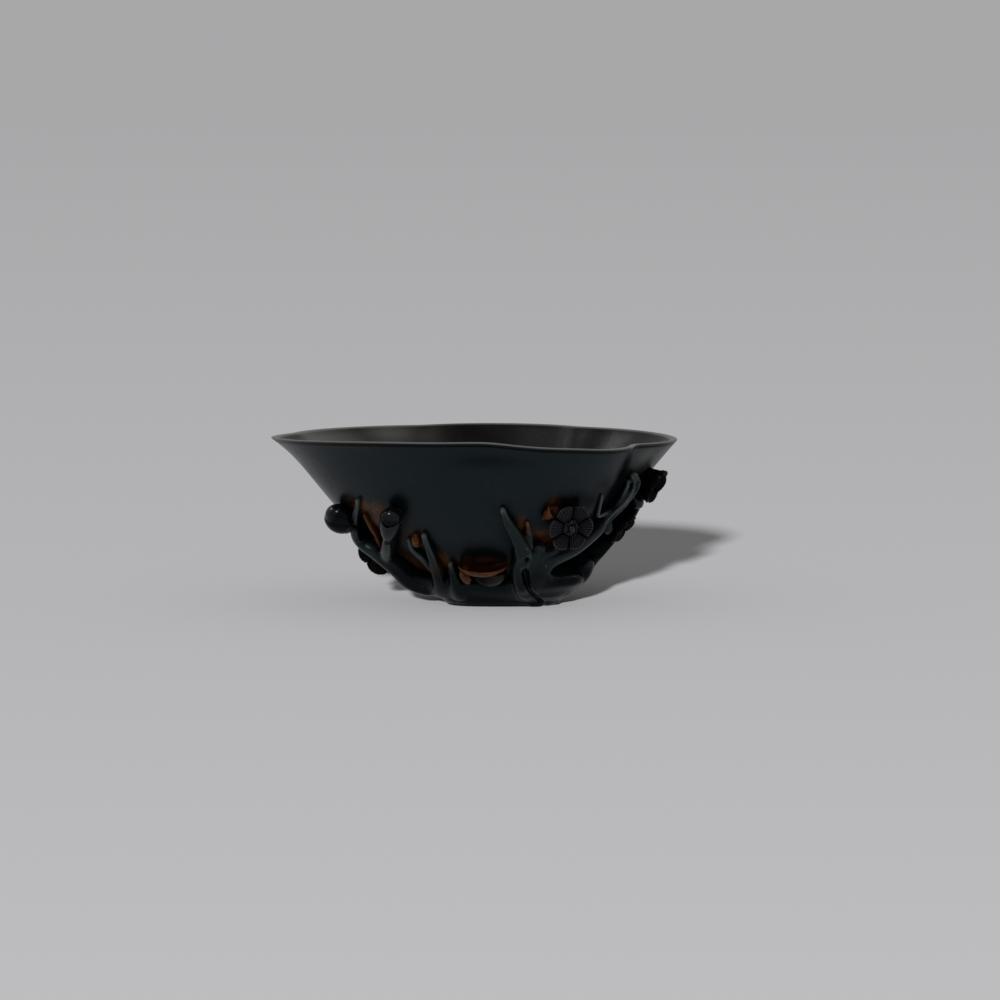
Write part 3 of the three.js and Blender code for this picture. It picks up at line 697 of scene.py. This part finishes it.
left = {
    "branch": [
        (-162, 6.8, 4.4, 3.1), (-166, 9.4, 4.3, 2.8), (-164, 14, 3.8, 2.1),
        (-165.5, 18, 3.6, 2), (-169, 21.5, 3.2, 1.7), (-163, 26, 1.8, 1.2), (-157, 30, 1, 0.8),
        (-154, 32.5, 0.8, 0.8),
    ],
    "twig": [(-158, 5.5, 3, 2.2), (-144, 9.5, 2.7, 1.9), (-138, 14.5, 2.1, 1.5), (-136, 19, 1.4, 1.1),
             (-135, 23, 0.9, 0.8)],
    "arch": [(-143, 12, 1.8, 1.2), (-144, 15.5, 1.4, 1), (-146, 18, 1.2, 0.8), (-144, 21.5, 0.9, 0.6)],
    "spur": [(-137, 5, 3.2, 2.3), (-133, 8, 2.7, 1.9), (-130, 11.5, 1.9, 1.3), (-129, 14.5, 0.9, 0.7)],
    "budStem": [(-165, 15.5, 2.7, 2), (-158.5, 18.2, 3, 2), (-153, 20.8, 3.9, 1.7), (-147.5, 24.3, 5.2, 1.15)],
}
back = {
    "trunk": [
        (110, 5, 4.2, 3.4), (98, 9, 4, 3.4), (86, 13.5, 3.6, 2.9), (74, 18, 3.2, 2.5), (60, 22, 2.8, 2),
        (47, 26.5, 2.3, 1.7), (38, 32, 1.7, 1.4), (34, 36, 1, 1),
    ],
    "leftBranch": [
        (126, 5.5, 4, 3.2), (136, 9.5, 3.6, 2.8), (144, 14, 3, 2.4), (147, 18.5, 2.6, 2),
        (145, 22.5, 2.4, 1.6), (141, 25.5, 2.3, 1.4),
    ],
    "rightBranch": [
        (58, 5.5, 4.2, 3.2), (44, 9, 3.8, 2.9), (32, 12.5, 3.2, 2.4), (24, 17, 2.5, 1.9),
        (21, 22, 1.7, 1.4), (22, 27, 0.9, 0.9),
    ],
    "twig": [(86, 16, 2.6, 1.7), (92, 20, 1.9, 1.4), (100, 24, 1.2, 1.1), (104, 28, 0.7, 0.7)],
}
sepals = {
    "bract": [(-142, 19, 1, 1.1), (-140.5, 21, 1.1, 1.4), (-139, 22.8, 0.8, 0.9)],
    "recessTwig": [(-163, 18.5, 1.5, 0.9), (-160, 21.5, 1, 0.8), (-158.5, 24.5, 0.8, 0.7), (-156.5, 28, 0.6, 0.5)],
}
foot = {
    "halfWidth": 17.6,
    "halfDepth": 14,
    "squareness": 0.6,
    "height": 6.3,
    "chamfer": 1.5,
    "ring": 3.5,
    "recess": 0.6,
}
roots = {
    # the mass that swells over the foot: angle, height of its top, thickness over the wall
    "skirt": [
        (-173, 11.5, 5), (-165, 10.5, 5), (-155, 10, 4.8), (-144, 9.8, 4.2), (-135, 9.5, 3.8), (-127, 8.8, 3.2),
        (-112, 8, 3), (-92, 8, 3), (-83, 9.5, 3.4), (-70, 11.5, 4.2), (-56, 13, 4.6), (-45, 13, 5), (-33, 12.3, 5),
        (-25, 13.5, 5.4), (-15, 14.5, 5), (0, 12, 4.6), (20, 10, 4), (60, 9, 3.4), (90, 8.5, 3), (120, 9, 3.4),
        (150, 10.5, 4), (180, 12.5, 4.5),
    ],
    "low": 2,
    "limbsUpTo": 17,  # limbs are thicker and flow together up to here
    "limbsFrom": 10.4,  # and thick ones in front stand free from here
    "thickLimb": 2.4,
    "fatter": 1.08,
    "voxel": 0.42,
    "soften": 30,
    # its underside: distance beyond the foot and height, at the left and at the right
    "underLeft": [(0, 1.2), (0.6, 1.5), (7.3, 3.1), (12.8, 4.9), (16.1, 6.7), (20.1, 10.2), (22.3, 12), (50, 34)],
    "underRight": [(0, 1.2), (0.7, 1.6), (3.6, 3.2), (5.5, 5.1), (8, 7), (9.3, 8.7), (11.5, 12), (50, 60)],
    "underRound": 0.5,
}
carving = {
    "voxel": 0.26,
    "soften": 5,
    "softenLow": (16, 16, 0.5),  # rounds, up to which height, falling by
    "faces": 190000,
    # cuts: width, depth and course of (angle, height, stand-off)
    "cuts": [
        (1, 1.7, [(-74.3, 15.2, 5), (-72.6, 12.9, 5), (-70.6, 11, 5)]),
        (0.6, 1.2, [(-71, 11.4, 5), (-67.4, 9.4, 5), (-59.9, 7.4, 5), (-50.3, 5.8, 5), (-38.7, 4.5, 5)]),
        (0.95, 1.7, [(-76, 18.4, 5), (-73.6, 18.4, 5)]),
    ],
    "flatUnder": 0.3,  # the resting ring is pressed flat up to here
    "lowShade": (0.6, 15, 5),  # painted shade low down: strength, height where it ends, fading over
    "lowShadeRight": 1.3,
    "rightSide": (-60, 60),
    "behindShade": (0.95, -15, 4, 10, 4),  # painted shade behind the right branch: strength, from angle over, from height over
    "ridgeHighlight": (0.32, 0.85),  # bend in 1/mm at which the painted highlight line starts and is full
    "ridgeSmooth": 5,
    "channelDepth": 0.5,
    "channel": (0.5, 0.95),  # the stretch of the right branch that is hollowed
    "channelEnds": (0.08, 0.04),
}


def footRing(angle, height, inset):
    across, along = math.cos(math.radians(angle)), math.sin(math.radians(angle))
    square = foot["squareness"]
    return Vector((
        (foot["halfWidth"] - inset) * math.copysign(abs(across) ** square, across),
        (foot["halfDepth"] - inset) * math.copysign(abs(along) ** square, along),
        height,
    ))


def footBlock():
    ringInset = foot["chamfer"] + foot["ring"]
    rows = [
        (foot["recess"], foot["halfDepth"]),
        (foot["recess"], ringInset + foot["recess"]),
        (0, ringInset),
        (0, foot["chamfer"]),
        (foot["chamfer"], 0),
        (0.8 * foot["height"], 0),
        (foot["height"], foot["chamfer"]),
        (foot["height"], foot["halfDepth"]),
    ]

    def place(angle, row):
        height, inset = rows[row]
        return Vector((0, 0, height)) if row in (0, len(rows) - 1) else footRing(angle, height, inset)
    return drum(len(rows) - 1, 96, place)


def skirtAt(angle):
    # height of the top and thickness, between the two nearest entries
    spots = roots["skirt"]
    for index, (place, high, thick) in enumerate(spots):
        nextPlace, nextHigh, nextThick = spots[(index + 1) % len(spots)]
        wide = (nextPlace - place) % 360
        gone = (angle - place) % 360
        if gone <= wide:
            part = 0.5 - 0.5 * math.cos(math.pi * gone / wide)
            return high + (nextHigh - high) * part, thick + (nextThick - thick) * part
    return spots[0][1:]


def skirt():
    rows = 24

    def place(angle, row):
        high, thick = skirtAt(angle)
        if row in (0, rows):
            return Vector((0, 0, roots["low"] if row == 0 else high))
        share = (row - 1) / (rows - 2)
        height = roots["low"] + (high - roots["low"]) * math.sin(math.pi / 2 * share)
        point = wallPoint(angle, height, thick * math.sqrt(max(0, 1 - share ** 4)) - 0.2)
        point.z = max(point.z, roots["low"] / 2)
        return point
    return drum(rows, 180, place)


def rootMass():
    # the low parts of the limbs run together with the skirt over the foot
    mass = pour(skirt(), footBlock())
    for limbs in (front, left, back):
        for knots in limbs.values():
            low = [(*place, radius * roots["fatter"]) for *place, radius in knots if place[1] < roots["limbsUpTo"]]
            if len(low) > 1:
                pour(limb(low), mass)
    mass = fuse("mass", mass, roots["voxel"])
    soften(mass, roots["soften"])
    return mass


def along(table, at):
    # reads a table of (place, value) between its entries
    for (start, low), (end, high) in zip(table, table[1:]):
        if at <= end:
            return low + (high - low) * (at - start) / (end - start)
    return table[-1][1]


def liftUnderside(bm):
    for point in bm.verts:
        turn = math.atan2(point.co.y, point.co.x)
        across, lengthways = math.cos(turn), math.sin(turn)
        power = 2 / foot["squareness"]
        edge = (abs(across / foot["halfWidth"]) ** power
                + abs(lengthways / foot["halfDepth"]) ** power) ** (-1 / power)
        beyond = math.hypot(point.co.x, point.co.y) - edge
        if beyond > 0:
            rightness = 0.5 + 0.5 * across
            floor = (along(roots["underLeft"], beyond) * (1 - rightness)
                     + along(roots["underRight"], beyond) * rightness)
            over = (point.co.z - floor) / roots["underRound"]
            if over < 12:  # higher up nothing moves
                point.co.z = floor + roots["underRound"] * math.log1p(math.exp(over))


def channel(share):
    start, end = carving["channel"]
    opening, closing = carving["channelEnds"]
    return carving["channelDepth"] * clamped(min((share - start) / opening, (end - share) / closing))


def markRidges(bm):
    # how sharply the carving bends outwards, for the painted highlight lines along its ridges; the layer
    # is made first, because points kept before that would be lost
    ridgeHighlight = bm.verts.layers.float.new("ridgeHighlight")
    bm.normal_update()
    bends = {}
    for point in bm.verts:
        links = [edge.other_vert(point).co - point.co for edge in point.link_edges]
        bends[point] = sum(-2 * way.dot(point.normal) / max(1e-6, way.length_squared) for way in links) / len(links)
    for _ in range(carving["ridgeSmooth"]):
        bends = {point: (bend + sum(bends[edge.other_vert(point)] for edge in point.link_edges))
                 / (1 + len(point.link_edges)) for point, bend in bends.items()}
    start, end = carving["ridgeHighlight"]
    for point, bend in bends.items():
        point[ridgeHighlight] = clamped((bend - start) / (end - start))


# painted shade on the carving: darker low down, more so on the right, and darkest behind the right branch
def reliefShade(point):
    angle = angleOf(point.co)
    strength, top, fade = carving["lowShade"]
    low = strength * clamped((top - point.co.z) / fade)
    start, end = carving["rightSide"]
    if start < angle < end:
        strength, past, over, height, rise = carving["behindShade"]
        behind = strength * clamped((angle - past) / over) * clamped((point.co.z - height) / rise)
        low = max(carving["lowShadeRight"] * low, behind)
    return low


def makeRelief():
    # foot, roots and branches are one carved skin, as they are in the wood
    relief = pour(rootMass(), footBlock())
    for limbs in (front, left, back):
        for name, knots in limbs.items():
            if limbs is front:
                knots = [knot for knot in knots if knot[1] > roots["limbsFrom"] or knot[3] < roots["thickLimb"]]
            if len(knots) > 1:
                pour(limb(knots, channel if name == "rightBranch" else None), relief)
    relief = fuse("relief", relief, carving["voxel"])
    soften(relief, *carving["softenLow"])
    liftUnderside(relief)
    soften(relief, carving["soften"])
    for width, depth, course in carving["cuts"]:
        gouge(relief, course, width, depth)
    for point in relief.verts:
        if point.co.z < carving["flatUnder"]:
            point.co.z = 0
    print("relief:", len(relief.faces), "faces")
    relief = thin("relief", relief, carving["faces"])
    markRidges(relief)
    paint(relief, "shade", reliefShade)
    paint(relief, "recess", lambda point: markAt("limbRecess", angleOf(point.co), point.co.z))
    finishPiece(
        "rootsAndBranches", relief, [limbWood], "branch", "foot", "front_trunk", "right_branch",
        "low_right_branch", "side_branch", "trunk_spur", "right_thin_twig", "right_small_twig", "left_branch",
        "left_twig", "left_arch", "left_spur", "left_bud_stem", "back_trunk", "back_left_branch",
        "back_right_branch", "back_twig")
    for name, node in (("bract", "left_bract"), ("recessTwig", "recess_twig")):
        finishPiece(name, limb(sepals[name]), [sepalWood], "calyx", node)


makeRelief()
print("branches done")


# Blossoms

blossoms = {
    # node: radius, petals, cup, thickness, neck, then angle, height, stand-off, tip, spin, turn
    "front_blossom": (7.4, 6, 0.14, 0.2, 0.42, -53.4, 26.8, 2.6, -18, 0, 0),
    "right_high_blossom": (5.7, 5, 0.6, 0.3, 0.72, -10, 37.6, 1, -8, 10, 0),
    "right_low_blossom": (5.4, 5, 0.5, 0.34, 0.7, -12, 25.8, 2, 0, 20, 0),
    "left_low_blossom": (7, 5, 0.12, 0.22, 0.5, -170, 16.4, 1.9, -12, 0, 30),
    "back_blossom": (6.4, 5, 0.16, 0.2, 0.42, 78, 27, 2.4, 0, 0, 0),
}
flower = {
    "notch": 0.22,
    "dome": 0.07,
    "veins": 7,  # in each petal
    "veinDepth": 0.012,
    "cleftWidth": 2.4,  # degrees
    # painted shade over the whole of these blossoms
    "shaded": {"right_high_blossom": 0.9, "right_low_blossom": 0.9, "left_low_blossom": 0.9},
    "cleftDepth": 0.16,
    "edge": 0.02,
    "edgeAt": (0.93, 0.05),  # the raised edge: share of the radius, width
    "root": 3,  # how deep it goes into the wall
    "stamen": (0.2, 0.9),  # flowers cupped more than this have stamens longer by this
    "rows": 30,
    "sidesPerPetal": 72,
    "heart": 0.34,
    # shares of the heart's and of the flower's radius, from the rim to the middle
    "heartProfile": [(0.95, 0.08), (0.8, 0.13), (0.6, 0.1), (0.46, 0.1), (0.42, 0.2), (0.3, 0.27), (0.15, 0.3),
                     (0, 0.31)],
    "bead": 0.036,
    "beads": 17,
}


def petals(radius, count, cupped, thick, neck):
    rows = flower["rows"]

    def lobe(angle):
        return 1 - flower["notch"] + flower["notch"] * abs(math.cos(math.radians(count * angle / 2))) ** 0.5

    def place(angle, row):
        # row 0 is the root in the wall, then the neck, the underside, the edge and the face
        turn = onRing(angle, 1, 0)
        if row <= 2:
            high = 0.02 if row == 2 else -flower["root"]
            return turn * radius * (0, neck - 0.02, neck)[row] + Vector((0, 0, high))
        out = (0.5 * (neck + 1), 0.94, 1)[row - 3] if row <= 5 else 1 - (row - 5) / (rows - 5)
        reach = radius * lobe(angle) * out
        rise = cupped * radius * out ** 2
        if row <= 5:
            return turn * reach + Vector((0, 0, rise + (0.45 * thick * radius if row == 5 else 0)))
        across = abs(math.cos(math.radians(count * angle / 2)))  # 1 along a petal's middle
        dome = flower["dome"] * radius * across ** 0.5 * math.sin(math.pi * min(1, out * 1.02)) ** 0.7
        vein = math.cos(math.radians(flower["veins"] * count * angle)) * min(1, 3 * out) * min(1, 7 * (1 - out))
        middle, width = flower["edgeAt"]
        edge = flower["edge"] * radius * math.exp(-((out - middle) / width) ** 2)
        high = thick * radius * (0.75 + 0.25 * across) * min(1, 0.4 + 6 * (1 - out))
        high *= 0.6 + 0.4 * min(1, 2 * out)
        aside = abs(turnBetween(0, angle * count))  # 180 between two petals
        cleft = math.exp(-((180 - aside) / count / flower["cleftWidth"]) ** 2) * clamped(4 * out - 1.2)
        rise += high + dome + edge + (flower["veinDepth"] * vein - flower["cleftDepth"] * cleft) * radius
        return turn * reach + Vector((0, 0, rise))
    bm = drum(rows, flower["sidesPerPetal"] * count, place)

    # marks the painted highlight lines along the veins and round the petals' rims
    def veined(point):
        angle = angleOf(point.co)
        out = math.hypot(point.co.x, point.co.y) / radius / lobe(angle)
        aside = abs(turnBetween(0, angle * count))
        line = (0.5 + 0.5 * math.cos(math.radians(flower["veins"] * count * angle))) ** 3
        inPetal = clamped((165 - aside) / 25) * clamped(4 * out - 1.3)
        return inPetal * max(0.75 * line, math.exp(-((out - 0.965) / 0.03) ** 2))
    paint(bm, "vein", veined)
    return bm


def heart(radius, stamen, thick):
    size = flower["heart"] * radius
    low = thick * radius * 0.6
    profile = [(share * size, low + rise * radius) for share, rise in flower["heartProfile"]]
    dome = turned([(0, low - 0.5), (0.9 * size, low - 0.5)] + profile, 40)
    for index in range(flower["beads"]):
        turn = math.tau * (index + 0.5) / flower["beads"]
        reach = size * (0.84 + 0.2 * math.sin(5 * index))
        place = Vector((reach * math.cos(turn), reach * math.sin(turn), low + 0.17 * radius + stamen))
        addBead(dome, place, flower["bead"] * radius)
        stalk = turned([(0, 0), (0.02 * radius, 0), (0.014 * radius, 1), (0, 1)], 10)
        start = Vector((0.5 * size * math.cos(turn), 0.5 * size * math.sin(turn), low))
        course = place - start
        lay = course.to_track_quat("Z", "Y").to_matrix().to_4x4()
        stretch = Matrix.Diagonal((1, 1, course.length, 1))
        pour(stalk, dome, Matrix.Translation(start) @ lay @ stretch)
    return dome


def makeBlossoms():
    for node, (radius, count, cupped, thick, neck, *where) in blossoms.items():
        place = facing(*where)
        limit, stamen = flower["stamen"]
        leaves = petals(radius, count, cupped, thick, neck)
        # painted shade on the blossoms listed as shaded
        paint(leaves, "shade", lambda point: flower["shaded"].get(node, 0))
        finishPiece(node + "Petals", moved(leaves, place), [petalWood], "blossom", node + "_petals")
        middle = heart(radius, stamen if cupped > limit else 0, thick)
        finishPiece(node + "Heart", moved(middle, place), [budWood], "blossom", node + "_heart")


makeBlossoms()
print("blossoms done")


# Buds in their calyxes

buds = {
    # node: radius, length, petals' overlap, calyx depth, its rim in front and at the wall,
    # then angle, height, stand-off, rise, spin
    "left_stem": (3.3, 6.6, 0, 8, -1.8, 2, -142.1, 29, 3.5, -15, -20),
    "left_round": (4.35, 9.8, 0.16, 5, -4.2, -4, -166.2, 27.9, 3.3, 0, 40),
    "behind_blossom": (1.9, 4.6, 0.05, 3.4, -0.6, 1, -64, 30.6, 1.3, 0, -40),
    "hanging_low": (1.8, 4.4, 0.05, 3.6, -0.2, 0.8, -21, 25, 2.7, 10, -150),
    "hanging_high": (2, 4.6, 0.05, 3.8, -0.4, 0.8, -7, 32, 2.9, 20, -110),
    "back_left": (3, 6.6, 0.1, 5.6, -1, 1.2, 138, 29, 2.6, 0, 20),
}
budShape = {
    "calyxWall": 0.04,  # shares of the bud's radius
    "calyxRoot": 0.2,
    "calyxPoint": 1.2,  # 1 is an egg, more is pointed
    "twist": 110,
    # painted shade on each bud's lower part, fading out upwards
    "shade": 0.9,
    "taper": 0.01,
}


def budBall(radius, length, overlap):
    # three petals wrapped round each other
    rows = 40

    def place(angle, row):
        along = math.pi * row / rows
        gone = (angle + budShape["twist"] * row / rows) % 120 / 120
        wrap = 1 + overlap * (min(gone, (1 - gone) * 9) - 0.45)
        reach = radius * (1 - budShape["taper"] * (1 - math.cos(along))) * math.sin(along) * wrap
        return onRing(angle, reach, -length / 2 * math.cos(along))
    bm = drum(rows, 120, place)
    # painted shade, darker low down on the bud
    paint(bm, "shade", lambda point: budShape["shade"] * clamped(1.1 - 3 * point.co.z / length))
    return bm


def budCup(radius, length, depth, front, behind):
    # an open pointed egg, its rim low in front and high against the wall, on a short root
    wall, point = budShape["calyxWall"] * radius, budShape["calyxPoint"]
    low = -depth
    root = low - budShape["calyxRoot"] * radius
    steps = 20
    outer = [(0, root), (0.3 * radius, root)]
    for step in range(3, steps + 1):
        turn = math.pi / 2 * step / steps
        outer.append(((radius + wall) * math.sin(turn) ** point, low * math.cos(turn) ** point))
    inner = [(reach - wall, share) for reach, share in reversed(outer[6:])]
    profile = outer + inner + [(0, inner[-1][1])]

    def place(angle, row):
        reach, height = profile[row]
        back = 0.5 + 0.5 * math.sin(math.radians(angle))  # 1 towards the wall
        rim = front + (behind - front) * back ** 0.6
        height = rim + height * (rim - low) / -low if height > low else height
        if row == len(profile) - 1:
            reach = 0
        narrow = 1 - 0.25 * (max(0, height) / radius) ** 2
        if depth < 0.6 * length:
            # a short cup hugs its bud
            reach = min(reach, wall + radius * max(0.1, 1 - (2 * height / length) ** 2) ** 0.5)
        return onRing(angle, reach * narrow, height)
    return drum(len(profile) - 1, 80, place)


def makeBuds():
    for node, (radius, length, overlap, depth, front, behind, *where) in buds.items():
        place = lying(*where)
        brown = node == "behind_blossom"
        ball = moved(budBall(radius, length, overlap), place)
        finishPiece(node + "Bud", ball, [deepWood if brown else budWood], "bud", node + "_bud")
        holder = moved(budCup(radius, length, depth, front, behind), place)
        finishPiece(node + "Calyx", holder, [sepalWood if brown else limbWood], "calyx", node + "_calyx")


makeBuds()
print("buds done")


# Half-open blossom, low in the middle

halfOpen = {
    "radius": 7.5,
    "flatness": 0.6,
    "rim": 2.3,
    # shares of the radius and of the rim's height, up the outside and down the inside
    "profile": [(0.62, -0.1), (0.82, 0.2), (0.94, 0.6), (1, 0.9), (0.995, 1.02), (0.97, 1.06), (0.93, 1),
                (0.8, 0.7), (0.5, 0.35), (0, 0.2)],
    "lobes": 0.06,
    "rise": 0.25,  # how far the rim rises against the wall
    "dip": (2.2, 30, 150),  # how far it dips in front, and between which angles
    "inside": (0.965, 0.3),  # shares of the radius: where the brown starts, and how far its faces look inwards
    "dome": (5.1, 4.6, 1.9),  # half its width, its depth, and how far it sits to the right
    "domeShade": (0.45, 1.1, 0.2, 0.9),  # painted shade on the dome: in the middle, growing to the left, downwards, and at most
    "place": (-105.8, 12.4, 1.9, -12, 0),
    "sepal": [(-120.5, 14, 3.2, 1), (-119.2, 12.9, 3.5, 1.5), (-119, 11.4, 3.6, 1.4), (-119.8, 9.8, 3.6, 0.6)],
    "bead": (-115.9, 11.9, 4.4, 0.55),  # angle, height, stand-off, radius
}


def makeHalfOpen():
    radius, rim, flat = halfOpen["radius"], halfOpen["rim"], halfOpen["flatness"]
    place = lying(*halfOpen["place"]) @ Matrix.Diagonal((1, flat, 1, 1))
    profile = [(out * radius, up * rim) for out, up in halfOpen["profile"]]
    profile = [(0, -0.5), (0.45 * radius, -0.4)] + profile

    def lobes(angle):
        return 1 - halfOpen["lobes"] + halfOpen["lobes"] * abs(math.cos(math.radians(2.5 * angle)))

    def dips(angle, row):
        dip, start, end = halfOpen["dip"]
        dipped = row in (5, 6, 7, 8) and start < angle < end
        return halfOpen["rise"] * math.sin(math.radians(angle)) + (dip if dipped else 0)
    cupOf = moved(turned(profile, 160, lobes, dips), place)
    pour(limb(halfOpen["sepal"]), cupOf)
    *spot, size = halfOpen["bead"]
    addBead(cupOf, wallPoint(*spot), size)
    brownFrom, facingIn = [share * radius for share in halfOpen["inside"]]
    # faces in the hollow get the deep wood: dark red-brown, partly painted shade
    for face in cupOf.faces:
        centre = place.inverted() @ face.calc_center_median()
        inwards = -(face.normal.dot(place.col[0].xyz) * centre.x + face.normal.dot(place.col[1].xyz) * centre.y)
        if centre.xy.length < brownFrom and centre.z > -0.2 and (face.normal.z > 0.2 or inwards > facingIn):
            face.material_index = 1
    finishPiece("halfOpenPetals", cupOf, [sepalWood, deepWood], "calyx", "centre_blossom_petals")
    width, depth, right = halfOpen["dome"]
    profile = [(width * math.sin(math.pi / 2 * step / 16), -depth * math.cos(math.pi / 2 * step / 16))
               for step in range(17)]
    dome = turned(profile + [(0.96 * width, 0.3), (0, 0.4)], 96)
    start, left, down, most = halfOpen["domeShade"]
    paint(dome, "shade", lambda point: min(
        most, max(0, start - left * point.co.x / width - down * point.co.z / depth)))
    moved(dome, place @ Matrix.Translation((right, -0.4, -0.1)))
    finishPiece("halfOpenCalyx", dome, [domeWood], "calyx", "centre_blossom_calyx")


makeHalfOpen()
print("half-open blossom done")


# Floor, lamps and camera

studio = {
    "floorHalf": 60,
    "near": (0.462, 0.46, 0.473),
    "far": (0.353, 0.35, 0.358),
    "backdrop": (0.393, 0.391, 0.399),
    "fadeStart": -0.56,
    "fadeLength": 0.8,
    "dome": 0.34,
    "sunStrength": 9.8,
    "sunAngle": 3,
    "sunCourse": (0.55, 3.9, -1),
    # soft boxes that light the cup alone: watts, size, place
    "boxes": [
        (1.1, 0.16, (-0.42, -0.55, 0.72)),
        (0.9, 0.3, (0.7, 0.2, 0.7)),
        (0.8, 0.3, (-0.7, 0.25, 0.7)),
    ],
}


def litBy(name, objects):
    lit = bpy.data.collections.new(name)
    for thing in objects:
        lit.objects.link(thing)
    return lit


def addLamp(name, kind, course, lit, **settings):
    lamp = bpy.data.lights.new(name, kind)
    for key, value in settings.items():
        setattr(lamp, key, value)
    made = bpy.data.objects.new(name, lamp)
    made.rotation_euler = Vector(course).to_track_quat("-Z", "Y").to_euler()
    made.light_linking.receiver_collection = lit
    bpy.context.scene.collection.objects.link(made)
    return made


def makeStudio():
    bm = bmesh.new()
    bmesh.ops.create_grid(bm, x_segments=2, y_segments=2, size=studio["floorHalf"])
    floor = newObject("floor", bm)
    material = bpy.data.materials.new("paleFloor")
    material.use_nodes = True
    tree = material.node_tree
    shader = tree.nodes["Principled BSDF"]
    shader.inputs["Roughness"].default_value = 1
    shader.inputs["Specular IOR Level"].default_value = 0
    place = addNode(tree, "ShaderNodeTexCoord")
    parts = addNode(tree, "ShaderNodeSeparateXYZ", {0: place.outputs["Object"]})
    # the floor darkens away from the camera: 1 at the start of the fade, half a fade length further
    start, length = studio["fadeStart"], studio["fadeLength"]
    reach = addMath(tree, "MAXIMUM", parts.outputs["Y"], start)
    fade = addMath(tree, "DIVIDE", length, addMath(tree, "ADD", reach, length - start))
    feed(tree, shader.inputs["Base Color"], addMix(tree, fade, studio["far"], studio["near"]))
    floor.data.materials.append(material)
    floor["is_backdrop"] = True

    world = bpy.data.worlds.new("studio")
    bpy.context.scene.world = world
    world.use_nodes = True
    tree = world.node_tree
    dome = tree.nodes["Background"]
    dome.inputs["Color"].default_value = (1, 1, 1, 1)
    dome.inputs["Strength"].default_value = studio["dome"]
    seen = addNode(tree, "ShaderNodeBackground", {"Color": studio["backdrop"]})
    path = addNode(tree, "ShaderNodeLightPath")
    shares = {0: path.outputs["Is Camera Ray"], 1: dome.outputs[0], 2: seen.outputs[0]}
    choose = addNode(tree, "ShaderNodeMixShader", shares)
    feed(tree, tree.nodes["World Output"].inputs["Surface"], choose.outputs[0])

    # a low lamp throws the shadow and lights the floor alone
    addLamp("lowLamp", "SUN", studio["sunCourse"], litBy("litByLowLamp", [floor]),
            energy=studio["sunStrength"], angle=math.radians(studio["sunAngle"]))
    pieces = litBy("litBySoftBoxes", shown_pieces())
    for index, (watts, size, spot) in enumerate(studio["boxes"]):
        box = addLamp("softBox%d" % index, "AREA", -Vector(spot), pieces, energy=watts, shape="DISK", size=size)
        box.location = footAxis + Vector(spot)


view = {
    "lens": 150,
    "distance": 1234.58,
    "elevation": 5.632,
    "targetHeight": 24,
    "clipEnd": 200,
    "shift": (-0.002, 0.02117),
}


def makeCamera():
    lens = bpy.data.cameras.new("camera")
    lens.lens = view["lens"]
    lens.shift_x, lens.shift_y = view["shift"]
    lens.clip_end = view["clipEnd"]
    camera = bpy.data.objects.new("camera", lens)
    turn = math.radians(view["elevation"])
    away = Vector((0, -math.cos(turn), math.sin(turn)))
    target = footAxis + Vector((0, 0, view["targetHeight"] * mm))
    camera.location = target + away * view["distance"] * mm
    camera.rotation_euler = (-away).to_track_quat("-Z", "Y").to_euler()
    bpy.context.scene.collection.objects.link(camera)
    bpy.context.scene.camera = camera


makeStudio()
makeCamera()
bpy.context.scene.view_settings.view_transform = "Standard"

print("scene done")
